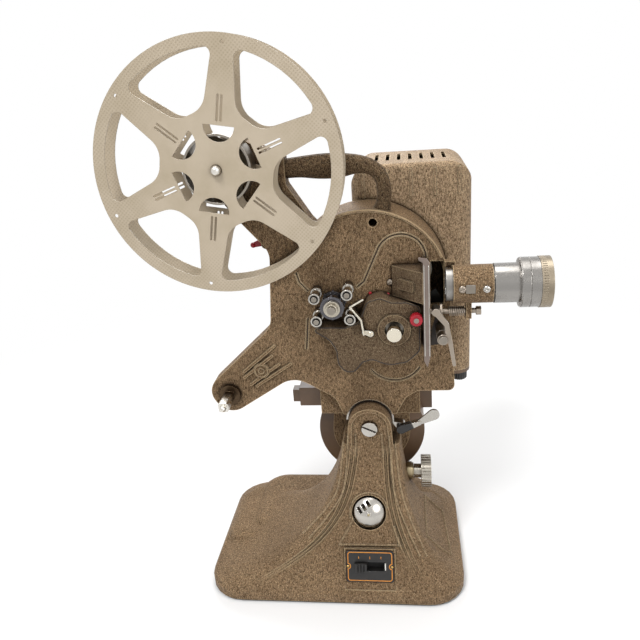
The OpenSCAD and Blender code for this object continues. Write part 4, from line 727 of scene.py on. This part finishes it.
def ridge(name, spots, half, proud, finish, body, closed=False):
    """Rounded ridge through spots, each a point on a surface and the normal there."""
    verts, faces = [], []
    for k, (hit, normal) in enumerate(spots):
        last = spots[k - 1] if closed or k else spots[k]
        after = spots[(k + 1) % len(spots)] if closed or k + 1 < len(spots) else spots[k]
        run = (after[0] - last[0]).normalized()
        side = normal.cross(run).normalized()
        for j in range(RIDGE_SIDES + 1):
            t = math.pi * j / RIDGE_SIDES
            verts.append(hit + side * half * math.cos(t) + normal * (proud * math.sin(t) - SINK))
    ring = RIDGE_SIDES + 1
    for k in range(len(spots) if closed else len(spots) - 1):
        low, high = k * ring, (k + 1) % len(spots) * ring
        faces += [(low + j, low + (j + 1) % ring, high + (j + 1) % ring, high + j) for j in range(ring)]
    if not closed:
        faces += [tuple(range(ring)), tuple(range(len(verts) - ring, len(verts)))]
    return piece(name, verts, faces, finish, body)


print("trim helpers ready")

# %% [markdown]
# ### Beads on the pedestal
# A raised bead frames the pilot light, and another frames a bare panel on the right flank. On the real
# casting they are part of the pattern, and they could be modelled with it. The corners were read in the
# photograph, so a ray from the camera through each corner finds the place on the casting, and the bead
# is laid there.

# %% Beads
PHOTO_SIDE = 640
FOCAL = CAMERA_LENS / camera_data.sensor_width * PHOTO_SIDE
FRAME_HALF, FRAME_PROUD = 0.0011, 0.0012
PILOT_FRAME = [(353.5, 516), (339.5, 544.5), (400.5, 545.5), (394, 526)]
FLANK_FRAME = [(424.4, 494.9), (442.7, 510.7), (451.3, 555), (426.6, 534.8)]
camera_turn = camera.matrix_world.to_3x3()


def seen_at(pixel, node):
    """Where the ray through a pixel of the photograph meets a node."""
    ray = Vector((pixel[0] - PHOTO_SIDE / 2, PHOTO_SIDE / 2 - pixel[1], -FOCAL)).normalized()
    hit, normal, _, _ = skin(node).ray_cast(CAMERA_AT, camera_turn @ ray)
    return hit, normal


for name, corners, closed in (("pilot_bead", PILOT_FRAME, False), ("flank_bead", FLANK_FRAME, True)):
    spots = [seen_at(p, "base_casting") for p in corners]
    facing = sum((s[1] for s in spots), Vector()).normalized()
    # The beads take the lighter enamel, a painted highlight.
    bead(name, [s[0] for s in spots], -facing, "base_casting", FRAME_HALF, FRAME_PROUD, HIGHLIGHT_ENAMEL,
         "base", closed)
    print(name, [tuple(round(v, 4) for v in s[0]) for s in spots])

# %% [markdown]
# ### Ribs on the pedestal
# The corners of the pedestal carry a bundle of ribs, and an arch goes over the pilot light. The inner
# ribs are in the solid, and the outer ones, the upper ends of the inner ones and the arch are added here.
# A few pixels of the photograph give the course of each. A straight bead between them would show
# corners, so a smooth curve runs through them, and rays through the curve find the casting.

# %% Ribs and arch
RIB_HALF, RIB_PROUD = 0.0009, 0.0011
RIB_COURSES = {
    "left_0": [(348, 436), (347.4, 456), (344, 487), (337, 503), (324, 521), (309, 538)],
    "left_1": [(343.5, 440), (342.2, 458), (338.5, 486), (331.5, 501), (318, 518), (303, 533)],
    "right_0": [(389.4, 436), (390.5, 456), (393.6, 487), (400, 511), (411, 537), (420, 556)],
    "left_2": [(355.4, 434), (355.9, 445), (355.7, 457)],
    "right_2": [(381.6, 434), (382.6, 445), (383.4, 457)],
    "pilot": [(350.4, 518), (350.2, 508), (354, 499.5), (361, 494.4),
              (369, 492.8), (377.5, 494.4), (384.4, 500), (387.6, 508)],
    "right_1": [(395.0, 442), (397.0, 460), (400.5, 487), (407, 510), (417, 534), (427, 556)],
}


def smooth(points, parts=14):
    """Points along a curve that passes through the given points."""
    out = []
    last = len(points) - 1
    for k in range(last):
        a, b, c, d = (Vector(points[min(max(j, 0), last)]) for j in (k - 1, k, k + 1, k + 2))
        for i in range(parts):
            t = i / parts
            out.append(0.5 * (2 * b + (c - a) * t + (2 * a - 5 * b + 4 * c - d) * t * t
                              + (3 * b - a - 3 * c + d) * t ** 3))
    return out + [Vector(points[-1])]


for name, course in RIB_COURSES.items():
    spots = [seen_at(pixel, "base_casting") for pixel in smooth(course)]
    spots = [spot for spot in spots if spot[0] is not None]
    # The ribs take the lighter enamel, a painted highlight.
    ridge(f"rib_{name}", spots, RIB_HALF, RIB_PROUD, HIGHLIGHT_ENAMEL, "base")
    print("rib", name, len(spots), "spots")

# %% [markdown]
# ### Switch plate
# The plate is black with an orange line round it that bends in beside two small screws. Over the slot
# are three plain strokes, one for each place of the slider, and a white mark stands at the end of the
# slot. They are printed on the real plate. A painted pattern would need a map, so they are very flat
# beads, laid by rays square to the plate.

# %% Switch plate marks
FACE_TILT = math.radians(20)
FACE_OUT = Vector((0, -math.cos(FACE_TILT), math.sin(FACE_TILT)))
FACE_UP = Vector((0, math.sin(FACE_TILT), math.cos(FACE_TILT)))
FACE_RIGHT = Vector((1, 0, 0))
plate_low, plate_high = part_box("switch_plate")
plate_mid = (plate_low + plate_high) / 2
PLATE_W = plate_high.x - plate_low.x
PLATE_H = (plate_high.z - plate_low.z) / math.cos(FACE_TILT)
LINE_IN, LINE_R, LINE_HALF, EAR_R = 0.0013, 0.002, 0.00055, 0.0021
PRINT_PROUD = 0.00012 + SINK
STROKE_AT, STROKE_LOW, STROKE_TOP, STROKE_HALF = (-0.009, 0, 0.009), 0.0062, 0.0082, 0.0004
MARK_AT, MARK_REACH, MARK_HALF = 0.0125, 0.0028, 0.0006
LINE_STEP, STROKE_STEP = 0.0006, 0.0004
SCREW_OUT, SCREW_R, SCREW_PROUD, SCREW_TURN = 0.0001, 0.0011, 0.0006, 30


def on_plate(u, v):
    """Point on the plate, u to the right and v up from its middle."""
    return plate_mid + FACE_RIGHT * u + FACE_UP * v


def arc(mid, radius, start, end, count=7):
    """Points on an arc, by angles in degrees."""
    angles = [math.radians(start + (end - start) * k / count) for k in range(count + 1)]
    return [(mid[0] + radius * math.cos(a), mid[1] + radius * math.sin(a)) for a in angles]


half_w, half_h = PLATE_W / 2 - LINE_IN, PLATE_H / 2 - LINE_IN
cw, ch = half_w - LINE_R, half_h - LINE_R
line = (arc((cw, ch), LINE_R, 0, 90) + arc((-cw, ch), LINE_R, 90, 180)
        + arc((-half_w, 0), EAR_R, 90, -90) + arc((-cw, -ch), LINE_R, 180, 270)
        + arc((cw, -ch), LINE_R, 270, 360) + arc((half_w, 0), EAR_R, 270, 90))


def printed(name, path, half, finish, closed, step):
    """Printed line on the switch plate."""
    bead(name, [on_plate(u, v) for u, v in path], -FACE_OUT, "switch_plate", half, PRINT_PROUD, finish,
         "base", closed, step)


printed("switch_line", line, LINE_HALF, ORANGE, True, LINE_STEP)
for k, u in enumerate(STROKE_AT):
    printed(f"switch_stroke_{k}", [(u, STROKE_LOW), (u, STROKE_TOP)], STROKE_HALF, ORANGE, False, STROKE_STEP)
printed("switch_mark", [(MARK_AT, -MARK_REACH), (MARK_AT, MARK_REACH)], MARK_HALF, WHITE, False, STROKE_STEP)
for name, side in (("left", -1), ("right", 1)):
    spot = on_plate(side * (half_w + SCREW_OUT), 0)
    hit = skin("switch_plate").ray_cast(spot + FACE_OUT * RAY_BACK, -FACE_OUT)[0]
    slotted_screw(f"switch_screw_{name}", hit, FACE_OUT, SCREW_R, SCREW_PROUD, SCREW_TURN, BRONZE,
                  "base")
print("switch plate marked")

# %% [markdown]
# ### Grooves of the rollers
# Each film roller has a bright rim, a dark groove and the bright end of its stud. The groove could be
# painted by its radius, but a turned ring of black enamel at the bottom of the recess keeps a crisp edge.
# It rides on the roller, so it turns with it.

# %% Roller rings
RECESS = 0.0014
RING_IN, RING_OUT, RING_T, RING_EDGE = 0.0018, 0.003, 0.0004, 0.0002
ring = [(RING_IN, -SINK), (RING_IN, 0.6 * RING_T), (RING_IN + RING_EDGE, RING_T),
        (RING_OUT - RING_EDGE, RING_T), (RING_OUT, 0.6 * RING_T), (RING_OUT, -SINK), (RING_IN, -SINK)]
for k in range(1, 5):
    low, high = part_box(f"roller_{k}")
    mid = (low + high) / 2
    floor_of_recess = Vector((mid.x, low.y + RECESS, mid.z))
    turned(f"roller_ring_{k}", floor_of_recess, FRONT, ring, BLACK, f"roller_{k}")
print("four roller rings")

# %% [markdown]
# ### Marks, screws and rivet
# Two red domes show where to oil, slotted screws hold the gate's door, the stripper and the cover, and a
# rivet holds the shade of the pilot light. All are turned from a profile. The screws are placed by pixels
# of the photograph and the others by rays.

# %% Marks, screws and rivet
FAR_FRONT, SMALL_STEPS = -0.2, 20
OIL_MARKS = [(0.0378, 0.2477), (0.0513, 0.2463)]
OIL_DOME = [(0, 0.0009), (0.0008, 0.0008), (0.0012, 0.0004), (0.0013, -SINK), (0, -SINK)]
RIVET_DOME = [(0, 0.0006), (0.0008, 0.00045), (0.0011, 0.0001), (0.0011, -SINK), (0, -SINK)]
for k, (x, z) in enumerate(OIL_MARKS):
    hit = skin("main_casting").ray_cast(Vector((x, FAR_FRONT, z)), -FRONT)[0]
    turned(f"oil_mark_{k}", hit, FRONT, OIL_DOME, RED, "head", SMALL_STEPS)
# Name, node, pixel, radius, height, turn of the slot in degrees, finish.
SCREWS = [
    ("door_screw", "main_casting", (390.0, 282.0), 0.0025, 0.0018, 40, DULL),
    ("stripper_screw", "film_stripper", (370.9, 334.2), 0.0018, 0.0007, 70, KNOB_END),
    ("cover_screw", "mechanism_cover", (394.0, 366.0), 0.0016, 0.0009, 75, DULL),
]
for name, node, pixel, radius, proud, turn_by, finish in SCREWS:
    hit, normal = seen_at(pixel, node)
    print(name, hit)
    if hit is not None:
        slotted_screw(name, hit, normal, radius, proud, turn_by, finish, "head")
low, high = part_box("pilot_shade")
rivet_at = skin("pilot_shade").ray_cast((low + high) / 2 + FACE_OUT * RAY_BACK, -FACE_OUT)[0]
turned("pilot_rivet", rivet_at, FACE_OUT, RIVET_DOME, OLD_BRASS, "pilot_shade", SMALL_STEPS)
print("marks, screws and rivet placed")

# %% [markdown]
# ### Threading lines
# Lines cut into the face show how to thread the film. They are dark, a painted shade in the cuts, and
# their rims are pale, a painted highlight. The cuts are in the solid. Dark paint in them would need a mask
# along each line, so a thin dark bead lies at the bottom of each cut, and a pale one on each side, laid by
# rays from the front.

# %% Threading lines
FACE_FRONT = -0.05
FINE_STEP = 0.0008
SHADE_LINE_HALF, SHADE_LINE_PROUD = 0.00065, 0.0002 + SINK
UPPER_MID, UPPER_R = (0.0615, 0.274), 0.0186
LOWER_MID, LOWER_R = (0.0545, 0.197), 0.023
CUTS = {
    "upper": arc(UPPER_MID, UPPER_R, 0, 158, 24) + [(0.0334, 0.257), (0.0279, 0.2526)],
    "lower": arc(LOWER_MID, LOWER_R, 216, 329, 24),
    "left": [(-0.018, 0.2657), (-0.016, 0.258), (-0.0098, 0.2509)],
    "side": [(-0.01155, 0.2286), (-0.01465, 0.2024)],
}


def before_face(path):
    """Path of x and z as points in front of the face."""
    return [(x, FACE_FRONT, z) for x, z in path]


for name, path in CUTS.items():
    # A dark line at the bottom of each cut: painted shade.
    bead(f"threading_{name}", before_face(path), -FRONT, "main_casting", SHADE_LINE_HALF, SHADE_LINE_PROUD, DIRT_AND_SHADE,
         "head", False, FINE_STEP)
print(len(CUTS), "threading lines")

# %% Pale rims beside the lines, a painted highlight
RIM_OUT, RIM_HALF, RIM_PROUD = 0.0013, 0.0005, 0.0007


def beside(path, out):
    """The same path moved sideways in the plane of the face."""
    moved = []
    for k in range(len(path)):
        way = Vector(path[min(k + 1, len(path) - 1)]) - Vector(path[max(k - 1, 0)])
        side = Vector((-way.y, way.x)).normalized()
        moved.append((path[k][0] + side.x * out, path[k][1] + side.y * out))
    return moved


for name, path in CUTS.items():
    for side, out in (("in", RIM_OUT), ("out", -RIM_OUT)):
        # The pale rims are a painted highlight.
        bead(f"rim_{name}_{side}", before_face(beside(path, out)), -FRONT, "main_casting", RIM_HALF, RIM_PROUD,
             HIGHLIGHT_ENAMEL, "head", False, FINE_STEP)
print("rims laid")

# %% [markdown]
# ### Dark rim of the movement cover
# The rim of the cover is dark, a painted shade at its rounded edge with some dirt. Its outline could be
# drawn again here, but then it would not follow a change of the solid. So rays from the front find it,
# going inwards from outside at each angle, and a thin bead follows it just inside.

# %% Dark rim
COVER_STEPS, COVER_REACH, COVER_FINE = 180, 0.07, 0.0004
COVER_IN, COVER_HALF = 0.0006, 0.0006
cover_low, cover_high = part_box("mechanism_cover")
cover_mid = (cover_low + cover_high) / 2
cover_skin = skin("mechanism_cover")
cover_line = []
for k in range(COVER_STEPS):
    angle = 2 * math.pi * k / COVER_STEPS
    way = Vector((math.cos(angle), 0, math.sin(angle)))
    reach = COVER_REACH
    while reach > 0 and cover_skin.ray_cast(cover_mid + way * reach + FRONT * RAY_BACK, -FRONT)[0] is None:
        reach -= COVER_FINE
    cover_line.append(cover_mid + way * (reach - COVER_IN))
# A dark line just inside the rim: painted shade, with some dirt.
bead("cover_rim_shade_and_dirt", cover_line, -FRONT, "mechanism_cover", COVER_HALF, SHADE_LINE_PROUD, DIRT_AND_SHADE, "head",
     True, FINE_STEP)
print("dark rim laid")

# %% [markdown]
# ### Gate rail, gate well and pivot slot
# The edges of the long gate bar carry a painted highlight, and the well beside it a painted shade, a black
# sheet where there is only shade. Two thin beads and a flat inlay with an outline of a few corners give
# these. A true recess would belong in the solid. The slot of the tilt screw is dark, a painted shade, which
# a flat bead along its floor shows.

# %% Gate rail, well and pivot slot
RAIL_HOOK, RAIL_IN = 0.003, 0.0007
RAIL_FOOT, RAIL_HEAD = 0.009, 0.006
EDGE_HALF, EDGE_PROUD, WELL_T = 0.0005, 0.0006, 0.0003
SLOT_TURN, SLOT_REACH, SLOT_HALF, SLOT_FILL = math.radians(25), 0.0056, 0.001, 0.0012
WELL = [(431, 304), (439.5, 304), (437.5, 325), (441, 344), (431, 345)]


def inlay(name, corners, node, t, finish, body):
    """Flat plate with straight sides whose corners are pixels of the photograph on a node."""
    spots = [seen_at(c, node)[0] for c in corners]
    verts = [v + FRONT * rise for rise in (-SINK, t) for v in spots]
    n = len(spots)
    faces = [tuple(range(n)), tuple(range(n, 2 * n))]
    faces += [(k, (k + 1) % n, (k + 1) % n + n, k + n) for k in range(n)]
    return piece(name, verts, faces, finish, body)


bar_low, bar_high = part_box("gate_channel")
for name, x in (("left", bar_low.x + RAIL_HOOK + RAIL_IN), ("right", bar_high.x - RAIL_IN)):
    ends = [(x, bar_low.y, bar_low.z + RAIL_FOOT), (x, bar_low.y, bar_high.z - RAIL_HEAD)]
    # Bright beads on the bar's edges: a painted highlight.
    bead(f"rail_edge_{name}", ends, -FRONT, "gate_channel", EDGE_HALF, EDGE_PROUD, NICKEL, "head")
# A black sheet where the well beside the gate is dark: painted shade.
inlay("gate_well_shade", WELL, "main_casting", WELL_T, DIRT_AND_SHADE, "head")
screw_low, screw_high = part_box("tilt_pivot_screw")
slot_way = Vector((math.cos(SLOT_TURN), 0, -math.sin(SLOT_TURN)))
slot_mid = (screw_low + screw_high) / 2
slot_ends = [slot_mid - slot_way * SLOT_REACH, slot_mid + slot_way * SLOT_REACH]
# A dark line along the floor of the screw's slot: painted shade.
bead("pivot_slot_shade", slot_ends, -FRONT, "tilt_pivot_screw", SLOT_HALF, SLOT_FILL, DIRT_AND_SHADE, "base")
print("rail, well and slot done")

# %% [markdown]
# ### Edge of the tilt band
# A steel band bends over the top of the ear, and its front edge catches the light. A shader can't light a
# face in the shade of the head, so a thin bead of nickel follows the edge about the tilt screw.

# %% Bright edge of the tilt band
BAND_IN, BAND_FROM, BAND_TO, BAND_PARTS = 0.0006, 25, 155, 30
band_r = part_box("tilt_band")[1].z - slot_mid.z - BAND_IN
band_path = arc((slot_mid.x, slot_mid.z), band_r, BAND_FROM, BAND_TO, BAND_PARTS)
bead("band_edge", before_face(band_path), -FRONT, "tilt_band", EDGE_HALF, EDGE_PROUD, NICKEL, "head")
print("band edge at", round(band_r, 4))

# %% [markdown]
# ### Rings of the arm's ornament
# The ornament on the take-up arm has a disc with two raised rings between plain bars. The bars and the
# disc are in the solid. The rings are thin, so they are beads here, on circles about the disc's middle.

# %% Ornament rings
ARM_WAY, ALONG_ARM = Vector((0.0445, 0, 0.0325)).normalized(), 0.035
RINGS, RING_HALF, RING_PROUD = (0.0024, 0.0052), 0.0007, 0.0009
takeup_low, takeup_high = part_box("takeup_spindle")
disc_at = (takeup_low + takeup_high) / 2 + ARM_WAY * ALONG_ARM
for k, radius in enumerate(RINGS):
    circle = [(disc_at.x + u, disc_at.y, disc_at.z + v) for u, v in arc((0, 0), radius, 0, 350, 35)]
    # The rings take the lighter enamel, a painted highlight.
    bead(f"ornament_ring_{k}", circle, -FRONT, "main_casting", RING_HALF, RING_PROUD, HIGHLIGHT_ENAMEL,
         "head", True)
print("ornament rings at", tuple(round(v, 4) for v in disc_at))

# %% [markdown]
# ### Index plate on the lens mount
# A small bright plate lies on the front of the lens mount between two screws. It is left bare. A tablet
# with rounded corners and a soft edge serves here, with a skirt that reaches into the round of the mount.

# %% Index plate


def tablet(name, mid, right, out, w, h, r, t, sink, finish, body):
    """Flat plate with rounded corners and a small bevel, standing out by t."""
    up = out.cross(right).normalized()
    verts, rings = [], []
    for inset, rise in ((0, -sink), (0, 0.6 * t), (0.4 * t, t)):
        cw, ch, cr = w / 2 - r, h / 2 - r, r - inset
        flat = (arc((cw, ch), cr, 0, 90) + arc((-cw, ch), cr, 90, 180) + arc((-cw, -ch), cr, 180, 270)
                + arc((cw, -ch), cr, 270, 360))
        rings.append(range(len(verts), len(verts) + len(flat)))
        verts += [mid + right * u + up * v + out * rise for u, v in flat]
    faces = [tuple(rings[0]), tuple(rings[-1])]
    for low, high in zip(rings, rings[1:]):
        n = len(low)
        faces += [(low[k], low[(k + 1) % n], high[(k + 1) % n], high[k]) for k in range(n)]
    return piece(name, verts, faces, finish, body)


INDEX_PLATE = (470.8, 289.4)
INDEX_W, INDEX_H, INDEX_R, INDEX_T, INDEX_SKIRT = 0.0066, 0.0062, 0.0006, 0.0003, 0.0006
INDEX_SCREWS = {"dark": ((462.6, 289.6), DULL), "bright": ((487.0, 289.3), NICKEL)}
INDEX_SCREW_R, INDEX_SCREW_PROUD, INDEX_SCREW_TURN = 0.0026, 0.0011, 20
plate_at, plate_out = seen_at(INDEX_PLATE, "lens_mount")
tablet("index_plate", plate_at, FACE_RIGHT, plate_out, INDEX_W, INDEX_H, INDEX_R, INDEX_T, INDEX_SKIRT, STEEL,
       "head")
for name, (pixel, finish) in INDEX_SCREWS.items():
    hit, normal = seen_at(pixel, "lens_mount")
    slotted_screw(f"index_screw_{name}", hit, normal, INDEX_SCREW_R, INDEX_SCREW_PROUD, INDEX_SCREW_TURN,
                  finish, "head")
print("index plate at", tuple(round(v, 4) for v in plate_at))

# %% [markdown]
# ### Thumb nut under the lamphouse
# A black thumb nut with a grooved edge holds the lamphouse floor from below. Its edge is a ring of
# shallow waves, so it is drawn as a star of cosines and lofted to a soft rim.

# %% Thumb nut
NUT_AT = Vector((0.1085, 0.032, 0.1605))
NUT_R, NUT_H, NUT_EDGE, NUT_WAVES, NUT_WAVE_H, NUT_STEPS = 0.0068, 0.0095, 0.0012, 20, 0.00025, 160
# How much smaller the outline is, and how far down.
NUT_SIDE = [(NUT_EDGE, 0.0), (0.0002, 0.0008), (0.0, 0.0016), (0.0, NUT_H - NUT_EDGE), (NUT_EDGE, NUT_H)]
verts, rings = [], []
for shrink, drop in NUT_SIDE:
    rings.append(range(len(verts), len(verts) + NUT_STEPS))
    for k in range(NUT_STEPS):
        a = 2 * math.pi * k / NUT_STEPS
        r = NUT_R - shrink - NUT_WAVE_H * (1 - math.cos(NUT_WAVES * a))
        verts.append(NUT_AT + Vector((r * math.cos(a), r * math.sin(a), -drop)))
faces = [tuple(rings[0]), tuple(rings[-1])]
for low, high in zip(rings, rings[1:]):
    for k in range(NUT_STEPS):
        after = (k + 1) % NUT_STEPS
        faces.append((low[k], low[after], high[after], high[k]))
piece("lamphouse_nut", verts, faces, BLACK, "head")
print("thumb nut below the lamphouse")

# %% [markdown]
# ### Rear screws
# The sheet cover behind the head and the motor's cap are held by slotted screws near their edges.
# Each could be set by its three numbers, but a ray from behind needs only two and seats it on the sheet.

# %% Rear screws
FAR_BACK, FLAT_FROM = 0.3, 0.9
REAR_SCREW_R, REAR_SCREW_PROUD, REAR_TURN_FIRST, REAR_TURN_STEP = 0.0026, 0.0013, 35, 50
REAR_SCREWS = {
    "rear_cover": [(-0.028, 0.195), (-0.026, 0.262), (0.005, 0.292), (0.012, 0.182)],
    "motor_cap": [(0.0315, 0.14), (0.0315, 0.074)],
}
for node, places in REAR_SCREWS.items():
    for k, (x, z) in enumerate(places):
        hit, normal, _, _ = skin(node).ray_cast(Vector((x, FAR_BACK, z)), FRONT)
        if hit is not None and normal.y > FLAT_FROM:
            slotted_screw(f"{node}_screw_{k}", hit, normal, REAR_SCREW_R, REAR_SCREW_PROUD,
                          REAR_TURN_FIRST + REAR_TURN_STEP * k, STEEL, "head")
            print(node, "screw", k, "at", tuple(round(v, 4) for v in hit))
